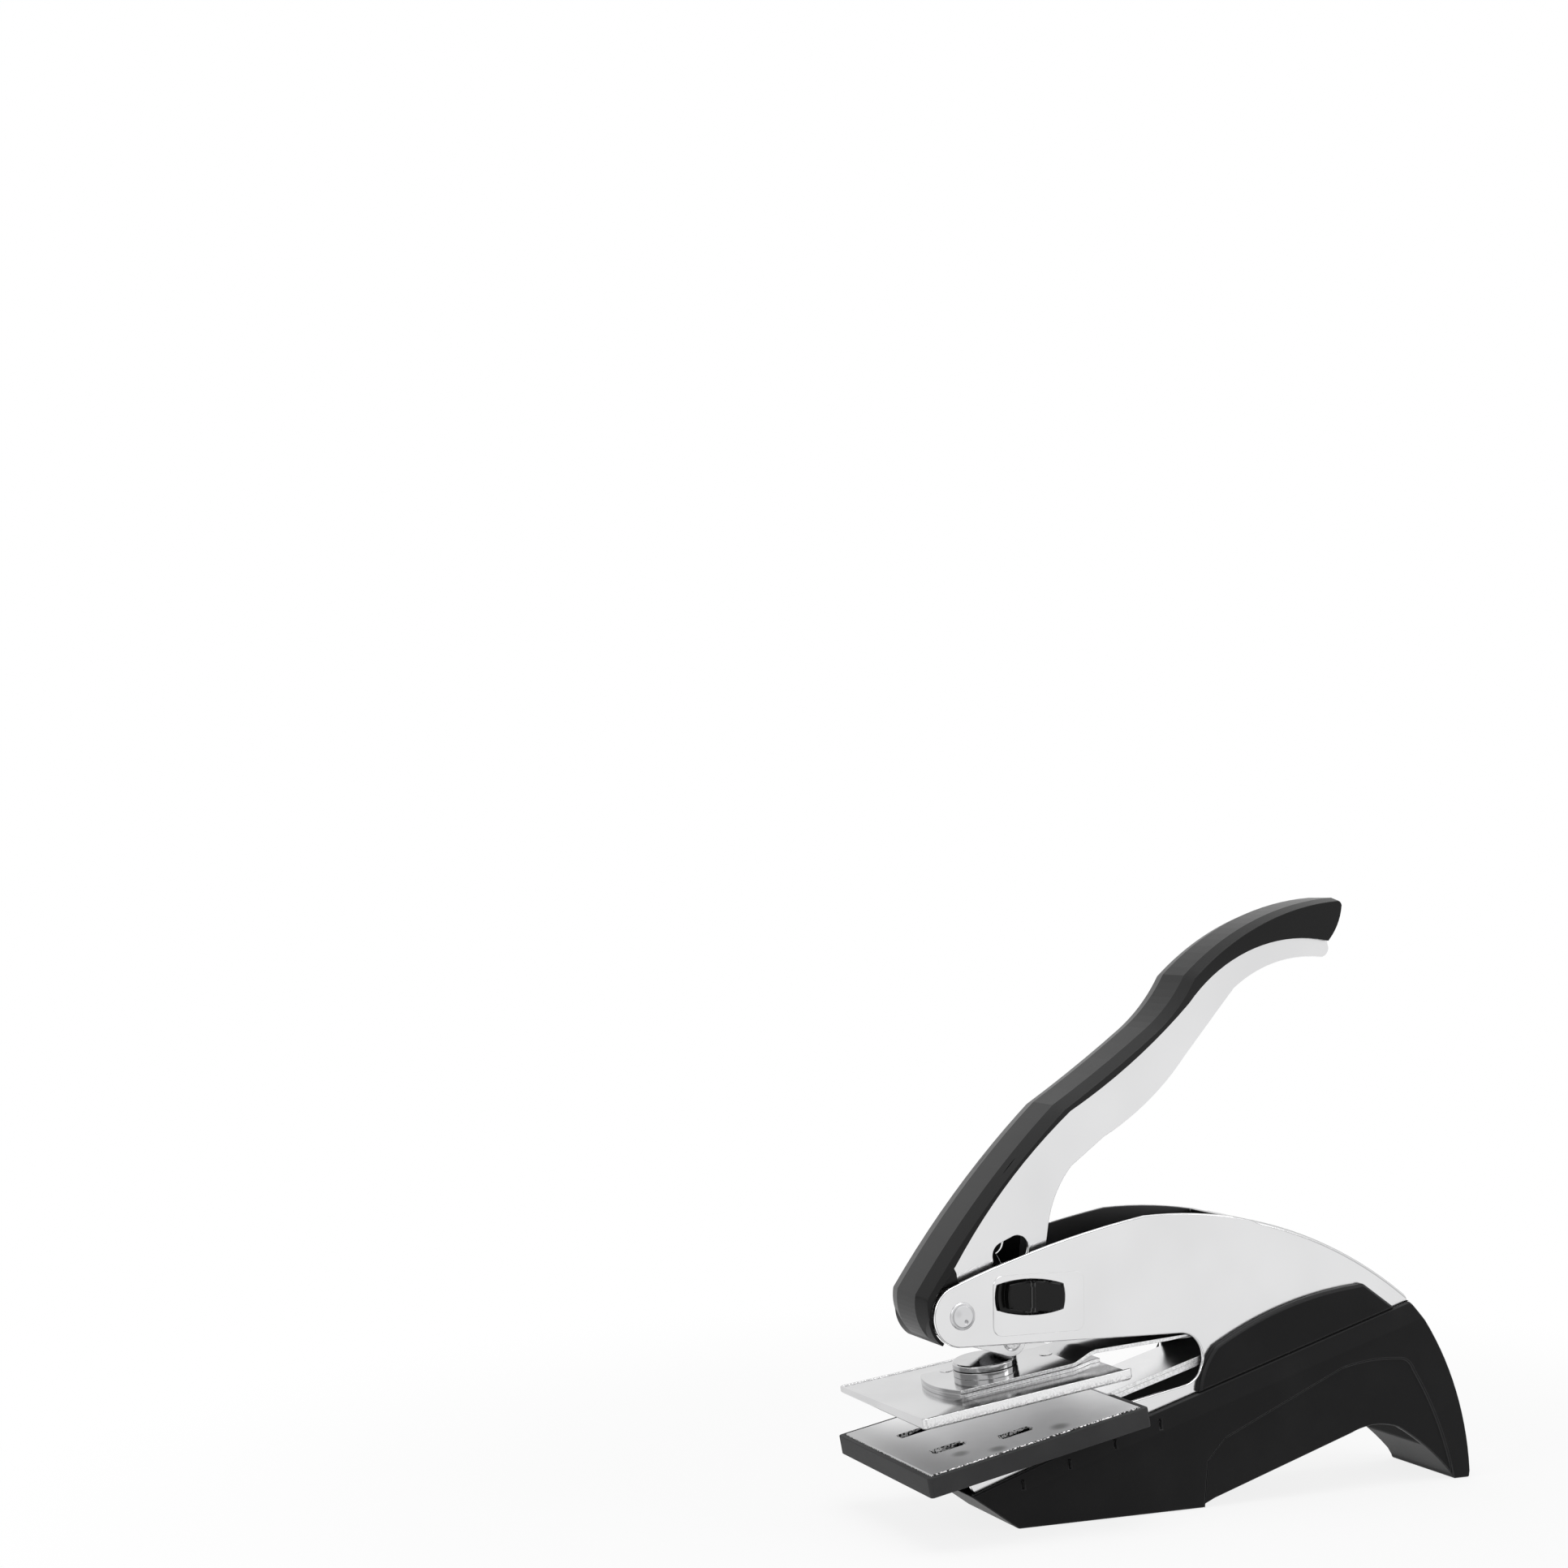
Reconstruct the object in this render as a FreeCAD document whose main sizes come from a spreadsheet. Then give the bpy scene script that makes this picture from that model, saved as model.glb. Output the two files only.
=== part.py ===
import FreeCAD, Part
import os
import Sketcher

# Hand-held seal embosser. A long lever turns on a rivet through the nose of a
# pressed steel frame. A roller between the lever plates bears on a puck on the
# upper jaw, and that jaw bends down on its spring strip towards the lower one.
# X runs from the open jaws (-X) to the heel, Y across, Z up. The origin is under
# the middle of the whole thing, on the table.

os.makedirs("parts", exist_ok=True)
doc = FreeCAD.newDocument("SealEmbosser")
sheet = doc.addObject("Spreadsheet::Sheet", "Sizes")
desk = doc.addObject("Spreadsheet::Sheet", "Desk")
pieces = []

# Driving sizes, in millimetres and degrees.
sizes = {
    # Lever rivet and frame walls.
    "pivot_x": -68.7,
    "pivot_z": 54.2,
    "pivot_pin_radius": 2.5,
    "pivot_head_radius": 3.5,
    "pivot_head_height": 0.6,
    "nose_radius": 8.0,
    "nose_turn": 110,
    "frame_half_width": 11.2,
    "frame_sheet": 1.2,
    "crown_x": -15.0,
    "crown_radius": 300,
    "back_x": -8.6,
    "back_top_z": 76.9,
    "back_radius": 126.4,
    "frame_rear_x": 68.9,
    "frame_rear_foot_z": 44,
    "web_front_x": 12.6,
    "throat_x": -4.2,
    "throat_z": 38.5,
    "throat_radius": 6.85,
    "throat_floor_tilt": 10.4,
    "frame_tip_x": -70.2,
    "fit": 0.1,
    "pin_fit": 0.06,
    # Window for the lock button in each frame wall.
    "window_x": -49.3,
    "window_z": 57.9,
    "window_length": 19.4,
    "window_end_height": 6.5,
    "window_drop": 0.8,
    "window_bow_radius": 34,
    "window_end_radius": 10.5,
    # Shoe that carries the frame.
    "shoe_half_width": 14.0,
    "shoe_panel_depth": 0.6,
    "shoe_front_x": -68.4,
    "shoe_front_z": 9.8,
    "shoe_toe_x": -54.3,
    "shoe_floor": 2.5,
    "shoe_toe_wall": 2.2,
    "arch_front_x": -0.2,
    "arch_rise_x": 4.6,
    "arch_rise_z": 2.0,
    "arch_crown_x": 48.0,
    "arch_crown_z": 15.1,
    "arch_crown_length": 15.5,
    "arch_crown_radius": 22,
    "arch_rear_x": 82.3,
    "arch_rear_radius": 68,
    "heel_x": 87.0,
    "heel_z": 1.8,
    "heel_radius": 80,
    "shoe_rear_x": 69.5,
    "shoe_rear_z": 48.3,
    "shoe_top_x": 68.5,
    "shoe_top_z": 49.2,
    "shoe_band_inset": 1.5,
    "shoe_band_height": 6.2,
    "arch_end_rise": 0.4,
    "panel_foot_run": 1.2,
    "panel_knee_run": 2.4,
    "panel_knee_z": 12.0,
    "panel_shoulder_run": 8.0,
    "panel_shoulder_z": 17.6,
    "panel_shoulder_radius": 60,
    "panel_brow_run": -3.0,
    "panel_brow_z": 33.0,
    "panel_corner_run": 16.5,
    "panel_corner_z": 34.2,
    "panel_corner_radius": 5,
    "panel_rear_run": 20.5,
    "panel_rear_z": 30.9,
    "panel_rear_radius": 90,
    "panel_heel_run": -0.8,
    "hollow_front_x": 2.6,
    "hollow_rear_x": 72.1,
    "frame_base_rise_x": -1.0,
    "frame_base_x": 45.0,
    "frame_base_z": 19.5,
    # Covers over the shoulders of the frame.
    "cover_thickness": 2.0,
    "cover_edge": 0.7,
    "cover_front_x": 0.3,
    "cover_shoulder_x": 5.8,
    "cover_shoulder_z": 41.6,
    "cover_top_x": 52.6,
    "cover_top_z": 55.0,
    "cover_top_radius": 111,
    "cover_rear_x": 63.4,
    "cover_gap": 0.15,
    "cover_corner_run": 1.0,
    "cover_corner_drop": 0.3,
    "cover_corner_radius": 2,
    "cover_shoulder_radius": 20,
    # Lower die plate, in a tray that slopes up towards the throat.
    "lower_x": -84.9,
    "lower_z": 18.9,
    "lower_tilt": 11.2,
    "lower_length": 60.6,
    "lower_width": 51.0,
    "lower_thickness": 2.4,
    "lower_edge": 0.25,
    "tray_rim": 1.5,
    "tray_depth": 5.25,
    "tray_lip_drop": 0.25,
    "tray_corner": 1.0,
    "lance_length": 8.6,
    "lance_width": 1.7,
    "lance_first": 12.9,
    "lance_first_side": 10.3,
    "lance_second": 29.8,
    "lance_second_side": 15.0,
    "arm_x": -25.0,
    "arm_z": 31.0,
    "arm_front": 0.45,
    "arm_tilt": 15.3,
    "arm_length": 40.0,
    "strip_thickness": 1.0,
    "strip_width": 18.0,
    "arm_plate_thickness": 1.4,
    "arm_plate_length": 36.0,
    "bend_radius": 1.5,
    # Upper jaw: die plate, backing plate, spring strip and puck.
    "upper_x": -87.0,
    "upper_z": 32.5,
    "upper_tilt": 7.7,
    "upper_length": 60.0,
    "upper_width": 51.0,
    "upper_thickness": 2.9,
    "upper_rim": 0.9,
    "upper_recess": 1.2,
    "upper_edge": 0.6,
    "plate_corner": 1.2,
    "backing_start": 14.8,
    "backing_half_width": 11.7,
    "backing_nose_radius": 26,
    "backing_nose_depth": 2.9,
    "backing_head_length": 35.5,
    "backing_taper": 7.0,
    "joggle_start": 51.5,
    "joggle_length": 7.5,
    "joggle_rise": 1.4,
    "rear_strip_drop": 3.5,
    "leaf_end": 100.6,
    "puck_place": 31.1,
    "puck_radius": 8.5,
    "puck_base_height": 1.8,
    "puck_cap_height": 1.8,
    "puck_edge": 0.35,
    "rivet_radius": 1.7,
    "rivet_head": 0.15,
    "rivet_front": 24.2,
    "rivet_front_side": 9.4,
    "rivet_rear": 50.4,
    "rivet_rear_side": 2.7,
    # Lever: folded steel channel, moulded grip, roller and its axle.
    "lever_half_width": 7.6,
    "lever_sheet": 1.2,
    "lever_eye_radius": 7.0,
    "belly_turn": -106.5,
    "stroke": 27.5,
    "axle_x": -52.6,
    "axle_z": 46.3,
    "axle_radius": 1.5,
    "axle_head_radius": 2.6,
    "axle_head_height": 0.6,
    "lobe_radius": 4.0,
    "roller_radius": 4.3,
    "roller_gap": 0.3,
    "lever_knee_x": -42.4,
    "lever_knee_z": 70.0,
    "lever_knee_radius": 28,
    "lever_throat_run": 7.7,
    "lever_throat_rise": 20.3,
    "lever_belly_run": 17.5,
    "lever_belly_rise": 27.5,
    "lever_belly_radius": 76,
    "lever_hip_run": 42.7,
    "lever_hip_rise": 48.1,
    "lever_tail_run": 58.3,
    "lever_tail_rise": 65.8,
    "lever_tail_radius": 39.7,
    "lever_tip_radius": 2.6,
    "seam_start_x": -70.1,
    "seam_start_z": 66.8,
    "seam_knee_x": -36.3,
    "seam_knee_z": 104.9,
    "seam_bow_x": 0.5,
    "seam_bow_z": 132.2,
    "seam_tail_x": 45.8,
    "seam_tail_z": 148.5,
    "seam_first_radius": 156,
    "seam_second_radius": 175,
    "seam_third_radius": 48,
    "seam_start_angle": 149,
    "seam_knee_angle": 125,
    "seam_bow_angle": 137,
    "seam_tail_angle": 80,
    "channel_lap": 1.4,
    "channel_gap": 0.15,
    "grip_half_width": 10.4,
    "grip_tail_half_width": 8.9,
    "grip_face_half_width": 5.3,
    "grip_crown_drop": 1.2,
    "grip_hood_gap": 0.8,
    "grip_tail_x": 51.4,
    "grip_tail_z": 160.4,
    "cheek_half_width": 8.6,
    "grip_tail_face_radius": 17,
    "grip_tip_radius": 2.4,
    "grip_tail_back_radius": 78,
    "grip_hump_run": 1.1,
    "grip_hump_rise": 7.3,
    "grip_hump_radius": 45,
    "grip_waist_run": 10.9,
    "grip_waist_drop": 6.6,
    "grip_waist_radius": 400,
    "grip_knee_run": 2.6,
    "grip_knee_rise": 1.3,
    "grip_knee_radius": 260,
    "grip_chin_run": 10.4,
    "grip_chin_rise": 5.4,
    "grip_chin_radius": 12.5,
    "grip_toe_run": 4.1,
    "grip_toe_drop": 7.9,
    # Lock: a bar through the lever plates, carried by a button in each window.
    "lock_x": -48.9,
    "lock_z": 58.0,
    "lock_bar_radius": 2.0,
    "lock_clearance": 0.5,
    "lock_travel": 3.4,
    "button_proud": 0.9,
    "button_flange": 1.2,
    "button_flange_thickness": 1.0,
    "button_gap": 0.15,
    "button_edge": 0.5,
    "button_rib_width": 1.2,
    "button_rib_height": 0.4,
    "notch_x": -54.8,
    "notch_z": 68.2,
    "notch_run": 4.0,
    "notch_rise": 1.7,
    "notch_radius": 3.4,
}
for row, (name, value) in enumerate(sizes.items(), 1):
    sheet.set("A%d" % row, name)
    sheet.set("B%d" % row, str(value))
    sheet.setAlias("B%d" % row, name)
doc.recompute()


def worth(text):
    """Value of an expression over the sheet."""
    desk.set("A1", "=" + sized(text))
    desk.recompute()
    return float(desk.get("A1"))


def sized(text):
    """Expression with the sheet's own names in it."""
    out = ""
    word = ""
    for letter in text + " ":
        if letter.isalpha() or letter == "_":
            word += letter
        else:
            out += "Sizes." + word if word in sizes else word
            out += letter
            word = ""
    return out.strip()


def bind(obj, prop, text):
    """Ties a property to an expression over the sheet."""
    obj.setExpression(prop, sized(text))


def new_body(label, x="0", z="0", tilt="0", y="0"):
    """Body in its own frame, which rises towards +X by the tilt."""
    body = doc.addObject("PartDesign::Body", label)
    body.Label = label
    body.Placement = FreeCAD.Placement(FreeCAD.Vector(), FreeCAD.Rotation(FreeCAD.Vector(0, 1, 0), -1))
    bind(body, "Placement.Base.x", x)
    bind(body, "Placement.Base.y", y)
    bind(body, "Placement.Base.z", z)
    bind(body, ".Placement.Rotation.Angle", "0 - (" + tilt + ")")
    pieces.append(body)
    return body


def new_sketch(body, role, lift="0"):
    """Empty sketch on one of the body's own planes, or at a height above it."""
    sketch = body.newObject("Sketcher::SketchObject", body.Label + "_sketch")
    plane = [f for f in body.Origin.OriginFeatures if f.Role == role][0]
    sketch.AttachmentSupport = [(plane, "")]
    sketch.MapMode = "FlatFace"
    bind(sketch, "AttachmentOffset.Base.z", lift)
    return sketch


def fix(sketch, kind, where, text):
    """Dimension held by an expression."""
    number = sketch.addConstraint(Sketcher.Constraint(kind, *where, worth(text)))
    bind(sketch, "Constraints[%d]" % number, text)


def outline(body, role, path, lift="0"):
    """Closed profile. A corner with a radius starts an arc: L turns left, R right."""
    sketch = new_sketch(body, role, lift)
    spots = [FreeCAD.Vector(worth(c[0]), worth(c[1]), 0) for c in path]
    ends = []
    for i, corner in enumerate(path):
        a = spots[i]
        b = spots[(i + 1) % len(path)]
        if len(corner) == 2:
            geo = sketch.addGeometry(Part.LineSegment(a, b), False)
            ends.append((geo, 1, 2))
            continue
        radius = worth(corner[2])
        half = (b - a) * 0.5
        side = FreeCAD.Vector(-half.y, half.x, 0).normalize()
        reach = max(radius ** 2 - half.Length ** 2, 0) ** 0.5
        centre = a + half + side * (reach if corner[3] == "L" else -reach)
        first, last = (a, b) if corner[3] == "L" else (b, a)
        circle = Part.Circle(centre, FreeCAD.Vector(0, 0, 1), radius)
        arc = Part.ArcOfCircle(circle, circle.parameter(first), circle.parameter(last))
        geo = sketch.addGeometry(arc, False)
        ends.append((geo, 1, 2) if corner[3] == "L" else (geo, 2, 1))
        fix(sketch, "Radius", (geo,), corner[2])
    for i, corner in enumerate(path):
        geo, start, stop = ends[i]
        after = ends[(i + 1) % len(path)]
        sketch.addConstraint(Sketcher.Constraint("Coincident", geo, stop, after[0], after[1]))
        fix(sketch, "DistanceX", (-1, 1, geo, start), corner[0])
        fix(sketch, "DistanceY", (-1, 1, geo, start), corner[1])
    return sketch


def rounds(body, role, circles, lift="0"):
    """Profile of full circles, each a centre and a radius."""
    sketch = new_sketch(body, role, lift)
    for x, y, radius in circles:
        centre = FreeCAD.Vector(worth(x), worth(y), 0)
        circle = Part.Circle(centre, FreeCAD.Vector(0, 0, 1), worth(radius))
        geo = sketch.addGeometry(circle, False)
        fix(sketch, "DistanceX", (-1, 1, geo, 3), x)
        fix(sketch, "DistanceY", (-1, 1, geo, 3), y)
        fix(sketch, "Radius", (geo,), radius)
    return sketch


def grow(body, sketch, length, both=True, back=False, taper=""):
    """Pad of a profile, to both sides of its plane or to one."""
    pad = body.newObject("PartDesign::Pad", body.Label + "_pad")
    pad.Profile = sketch
    pad.SideType = "Symmetric" if both else "One side"
    pad.Reversed = back
    bind(pad, "Length", length)
    if taper:
        bind(pad, "TaperAngle", taper)
    body.Tip = pad
    return pad


def cut(body, sketch, length, both=True, back=False):
    """Pocket of a profile, which has to take something away."""
    doc.recompute()
    before = body.Shape.Volume
    pocket = body.newObject("PartDesign::Pocket", body.Label + "_cut")
    pocket.Profile = sketch
    pocket.SideType = "Symmetric" if both else "One side"
    pocket.Reversed = back
    bind(pocket, "Length", length)
    body.Tip = pocket
    doc.recompute()
    if body.Shape.Volume > before - 0.01:
        raise RuntimeError(body.Label + ": a cut took nothing away")
    return pocket


def turn(body, sketch):
    """Revolution of a half profile about the sketch's upright axis."""
    wheel = body.newObject("PartDesign::Revolution", body.Label + "_turn")
    wheel.Profile = sketch
    wheel.ReferenceAxis = (sketch, ["V_Axis"])
    wheel.Angle = 360
    body.Tip = wheel
    return wheel


def ease(body, kind, amount, wanted):
    """Fillet or chamfer along the edges that the test picks out."""
    doc.recompute()
    last = body.Tip
    names = ["Edge%d" % (i + 1) for i, e in enumerate(last.Shape.Edges) if wanted(e)]
    if not names:
        raise RuntimeError(body.Label + ": no edge to ease")
    soft = body.newObject("PartDesign::" + kind, body.Label + "_" + kind.lower())
    soft.Base = (last, names)
    bind(soft, "Radius" if kind == "Fillet" else "Size", amount)
    body.Tip = soft
    return soft


def slope_off(body, across, down, wanted):
    """Unequal bevel on upright walls: so far across the top, so far down the wall."""
    doc.recompute()
    count = len([e for e in body.Tip.Shape.Edges if wanted(e)])
    for turn_number in range(count):
        last = body.Tip
        edges = [(i, e) for i, e in enumerate(last.Shape.Edges) if wanted(e)]
        index, edge = edges[0]
        face = last.Shape.ancestorsOfType(edge, Part.Face)[0]
        wall = abs(face.normalAt(0.5, 0.5).y) > 0.7
        bevel = body.newObject("PartDesign::Chamfer", body.Label + "_bevel")
        bevel.Base = (last, ["Edge%d" % (index + 1)])
        bevel.ChamferType = "Two distances"
        bind(bevel, "Size", down if wall else across)
        bind(bevel, "Size2", across if wall else down)
        body.Tip = bevel
        doc.recompute()


def box(x0, x1, y0, y1):
    """Corners of an upright rectangle."""
    return [(x0, y0), (x1, y0), (x1, y1), (x0, y1)]


# Points that more than one piece follows. The shoe's top edge is one straight
# slope, and the tray's underside is another.
shoe_slope = "(shoe_top_z - shoe_front_z) / (shoe_top_x - shoe_front_x)"
toe_slope = "(shoe_toe_x - shoe_front_x) / shoe_front_z"


def shoe_top(x):
    return "shoe_front_z + (" + x + " - shoe_front_x) * " + shoe_slope


def tray_under(x):
    return ("lower_z - tray_depth / cos(lower_tilt) + (" + x
            + " - lower_x) * tan(lower_tilt)")


def back_at(x, inset="0"):
    return "back_top_z - back_radius + sqrt((back_radius - " + inset + ")^2 - (" + x + " - back_x)^2)"


# Frame: two steel walls folded together over the back, open over the nose, with
# a rounded throat for the jaws and the lower edge standing in the shoe.
frame = new_body("frame_body")
nose_x = "pivot_x + nose_radius * cos(nose_turn)"
nose_z = "pivot_z + nose_radius * sin(nose_turn)"
throat_end_x = "throat_x + throat_radius * sin(throat_floor_tilt)"
throat_end_z = "throat_z - throat_radius * cos(throat_floor_tilt)"
step_x = "lower_x + (tray_length) * cos(lower_tilt) + tray_depth * sin(lower_tilt) + 4 * fit"
step_x = step_x.replace("tray_length", "lower_length + fit + tray_rim")
step_z = throat_end_z + " - (" + throat_end_x + " - (" + step_x + ")) * tan(throat_floor_tilt)"
toe_in = "shoe_toe_wall + fit"
frame_outline = outline(frame, "XZ_Plane", [
    (nose_x, nose_z, "nose_radius", "L"),
    ("pivot_x", "pivot_z - nose_radius"),
    ("throat_x", "throat_z + throat_radius", "throat_radius", "R"),
    (throat_end_x, throat_end_z),
    (step_x, step_z),
    (step_x, tray_under("(" + step_x + ")")),
    ("frame_tip_x", tray_under("frame_tip_x")),
    ("shoe_front_x + " + toe_in, "shoe_front_z"),
    ("shoe_toe_x + " + toe_in + " - shoe_floor * " + toe_slope, "shoe_floor"),
    ("frame_base_rise_x", "shoe_floor"),
    ("frame_base_x", "frame_base_z"),
    ("frame_rear_x - 1", "frame_base_z + 4"),
    ("frame_rear_x - 1", "frame_rear_foot_z"),
    ("frame_rear_x", back_at("frame_rear_x"), "back_radius", "L"),
    ("crown_x", back_at("crown_x"), "crown_radius", "L"),
])
grow(frame, frame_outline, "frame_half_width * 2")
cut(frame, outline(frame, "XZ_Plane", [
    ("pivot_x - nose_radius * 2", "0 - frame_base_z"),
    ("heel_x", "0 - frame_base_z"),
    ("heel_x", "frame_base_z"),
    ("frame_rear_x", back_at("frame_rear_x", "frame_sheet"), "back_radius - frame_sheet", "L"),
    ("web_front_x", back_at("web_front_x", "frame_sheet")),
    ("web_front_x", "back_radius"),
    ("pivot_x - nose_radius * 2", "back_radius"),
]), "(frame_half_width - frame_sheet) * 2")


def barrel(grow_by, front_shift):
    """Window outline: bowed above and below, rounded ends, slightly nose-up."""
    left = "window_x - window_length / 2 - (" + grow_by + ") + " + front_shift
    right = "window_x + window_length / 2 + " + grow_by
    half = "(window_end_height / 2 + " + grow_by + ")"
    high = "window_z + window_drop / 2"
    low = "window_z - window_drop / 2"
    return [
        (left, high + " - " + half, "window_bow_radius", "L"),
        (right, low + " - " + half, "window_end_radius", "L"),
        (right, low + " + " + half, "window_bow_radius", "L"),
        (left, high + " + " + half, "window_end_radius", "L"),
    ]


cut(frame, outline(frame, "XZ_Plane", barrel("0", "0")), "frame_half_width * 4")
cut(frame, rounds(frame, "XZ_Plane", [("pivot_x", "pivot_z", "pivot_pin_radius + fit / 2")]),
    "frame_half_width * 4")

# Rivet that the lever turns on, with a flat head each side.
pivot = new_body("pivot_rivet", "pivot_x", "pivot_z")
turn(pivot, outline(pivot, "XY_Plane", [
    ("0", "0 - frame_half_width - pivot_head_height"),
    ("pivot_head_radius - pivot_head_height", "0 - frame_half_width - pivot_head_height"),
    ("pivot_head_radius", "0 - frame_half_width - pivot_head_height / 3"),
    ("pivot_head_radius", "0 - frame_half_width"),
    ("pivot_pin_radius", "0 - frame_half_width"),
    ("pivot_pin_radius", "frame_half_width"),
    ("pivot_head_radius", "frame_half_width"),
    ("pivot_head_radius", "frame_half_width + pivot_head_height / 3"),
    ("pivot_head_radius - pivot_head_height", "frame_half_width + pivot_head_height"),
    ("0", "frame_half_width + pivot_head_height"),
]))

# Shoe: moulded base with a long flat toe, an arch and a curved heel. The frame
# stands in a slot down its middle, and the arch opens into the hollow above it.
shoe = new_body("base_shoe")
arch_end_x = "arch_crown_x + arch_crown_length"
arch_end_z = "arch_crown_z + arch_end_rise"
shoe_under = [
    ("shoe_front_x", "shoe_front_z"),
    ("shoe_toe_x", "0"),
    ("arch_front_x", "0"),
    ("arch_rise_x", "arch_rise_z"),
    ("arch_crown_x", "arch_crown_z", "arch_crown_radius", "R"),
    (arch_end_x, arch_end_z, "arch_rear_radius", "R"),
    ("arch_rear_x", "0"),
    ("heel_x - heel_z / 6", "0"),
    ("heel_x", "heel_z", "heel_radius", "L"),
    ("shoe_rear_x", "shoe_rear_z"),
    ("shoe_top_x", "shoe_top_z"),
]
grow(shoe, outline(shoe, "XZ_Plane", shoe_under), "(shoe_half_width - shoe_panel_depth) * 2")
grow(shoe, outline(shoe, "XZ_Plane", [
    ("shoe_front_x", "shoe_front_z"),
    ("shoe_toe_x", "0"),
    ("arch_front_x + panel_foot_run", "0"),
    ("arch_front_x + panel_knee_run", "panel_knee_z"),
    ("arch_front_x + panel_shoulder_run", "panel_shoulder_z"),
    ("arch_crown_x + panel_brow_run", "panel_brow_z", "panel_shoulder_radius", "R"),
    ("arch_crown_x + panel_corner_run", "panel_corner_z", "panel_corner_radius", "R"),
    ("arch_crown_x + panel_rear_run", "panel_rear_z", "panel_rear_radius", "R"),
    ("arch_rear_x + panel_heel_run", "0"),
    ("heel_x - heel_z / 6", "0"),
    ("heel_x", "heel_z", "heel_radius", "L"),
    ("shoe_rear_x", "shoe_rear_z"),
    ("shoe_top_x", "shoe_top_z"),
]), "shoe_half_width * 2")
cut(shoe, outline(shoe, "XZ_Plane", [
    ("shoe_front_x + shoe_toe_wall", "shoe_front_z"),
    ("shoe_toe_x + shoe_toe_wall - (shoe_floor) * " + toe_slope, "shoe_floor"),
    ("hollow_front_x", "shoe_floor"),
    ("hollow_front_x", "0 - shoe_floor"),
    ("hollow_rear_x", "0 - shoe_floor"),
    ("hollow_rear_x", "frame_rear_foot_z - 8"),
    ("frame_rear_x - 1 + fit * 3", "frame_rear_foot_z"),
    ("frame_rear_x + fit * 3", "back_radius"),
    ("shoe_front_x + shoe_toe_wall", "back_radius"),
]), "(frame_half_width + fit) * 2")


def on_shoe_top(edge):
    """Long outer edges of the sloping top."""
    a, b = edge.Vertexes[0].Point, edge.Vertexes[-1].Point
    wide = worth("shoe_half_width")
    flat = abs(abs(a.y) - wide) < 0.01 and abs(abs(b.y) - wide) < 0.01
    top = max(a.z, b.z) > worth("shoe_top_z - shoe_band_height / 2")
    return flat and top and abs(a.x - b.x) > worth("arch_rear_x - arch_front_x")


slope_off(shoe, "shoe_band_inset", "shoe_band_height", on_shoe_top)

# Covers: shallow mouldings over the frame's shoulders, down to the shoe.


def rim_at(level):
    """Edges that lie wholly in the plane y = level of the body."""
    def wanted(edge):
        return all(abs(v.Point.y - level) < 0.01 for v in edge.Vertexes)
    return wanted


def cover(label, y, outward):
    """Cover on one wall, with the edges of its outer face eased."""
    body = new_body(label, "0", "0", "0", y)
    low = " + cover_gap"
    grow(body, outline(body, "XZ_Plane", [
        ("cover_front_x", shoe_top("cover_front_x") + low),
        ("cover_rear_x", shoe_top("cover_rear_x") + low),
        ("cover_top_x + cover_corner_run", "cover_top_z - cover_corner_drop", "cover_corner_radius", "L"),
        ("cover_top_x - cover_corner_run", "cover_top_z - cover_corner_drop / 3", "cover_top_radius", "L"),
        ("cover_shoulder_x", "cover_shoulder_z", "cover_shoulder_radius", "L"),
    ]), "cover_thickness", False, outward > 0)
    ease(body, "Chamfer", "cover_edge", rim_at(outward * worth("cover_thickness")))
    return body


wall_y = "frame_half_width + 0.02"
cover("side_cover_right", "0 - (" + wall_y + ")", -1)
cover("side_cover_left", wall_y, 1)

# Lower jaw: a die plate pressed into a tray, both on the frame's lower edge.
# Their own frame starts at the plate's front top edge and follows its slope.
tray = new_body("lower_tray", "lower_x", "lower_z", "lower_tilt")
tray_margin = "fit + tray_rim"
grow(tray, outline(tray, "XY_Plane", box(
    "0 - (" + tray_margin + ")", "lower_length + " + tray_margin,
    "0 - lower_width / 2 - " + tray_margin.replace("+", "-"),
    "lower_width / 2 + " + tray_margin), "0 - tray_depth"), "tray_depth - tray_lip_drop", False)


def upright(edge):
    """Straight edges along the body's own Z."""
    a, b = edge.Vertexes[0].Point, edge.Vertexes[-1].Point
    return abs(a.x - b.x) < 0.01 and abs(a.y - b.y) < 0.01 and abs(a.z - b.z) > 0.5


ease(tray, "Fillet", "tray_corner", upright)
cut(tray, outline(tray, "XY_Plane", box(
    "0 - fit", "lower_length + fit",
    "0 - lower_width / 2 - fit", "lower_width / 2 + fit"), "0 - lower_thickness"),
    "lower_thickness", False, True)
cut(tray, outline(tray, "XY_Plane", box(
    "lower_length - 1", "lower_length + tray_rim * 2",
    "0 - strip_width / 2 - fit * 3", "strip_width / 2 + fit * 3"),
    "0 - strip_thickness - arm_plate_thickness - fit"), "tray_depth", False, True)

lower = new_body("lower_die_plate", "lower_x", "lower_z", "lower_tilt")
grow(lower, outline(lower, "XY_Plane", box(
    "0", "lower_length", "0 - lower_width / 2", "lower_width / 2"), "0 - lower_thickness"),
    "lower_thickness", False)
ease(lower, "Chamfer", "lower_edge", lambda e: all(v.Point.z > -0.01 for v in e.Vertexes))
for along, side in (("lance_first", "lance_first_side"), ("lance_second", "lance_second_side")):
    for sign in ("", "0 - "):
        cut(lower, outline(lower, "XY_Plane", [
            (along + " - lance_length / 2", sign + side + " - lance_width / 2"),
            (along + " + lance_length / 2", sign + side + " - lance_width / 2",
             "lance_width / 1.9", "L"),
            (along + " + lance_length / 2", sign + side + " + lance_width / 2"),
            (along + " - lance_length / 2", sign + side + " + lance_width / 2",
             "lance_width / 1.9", "L"),
        ], "0 - lower_thickness * 0.6"), "lower_thickness", False, True)

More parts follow.
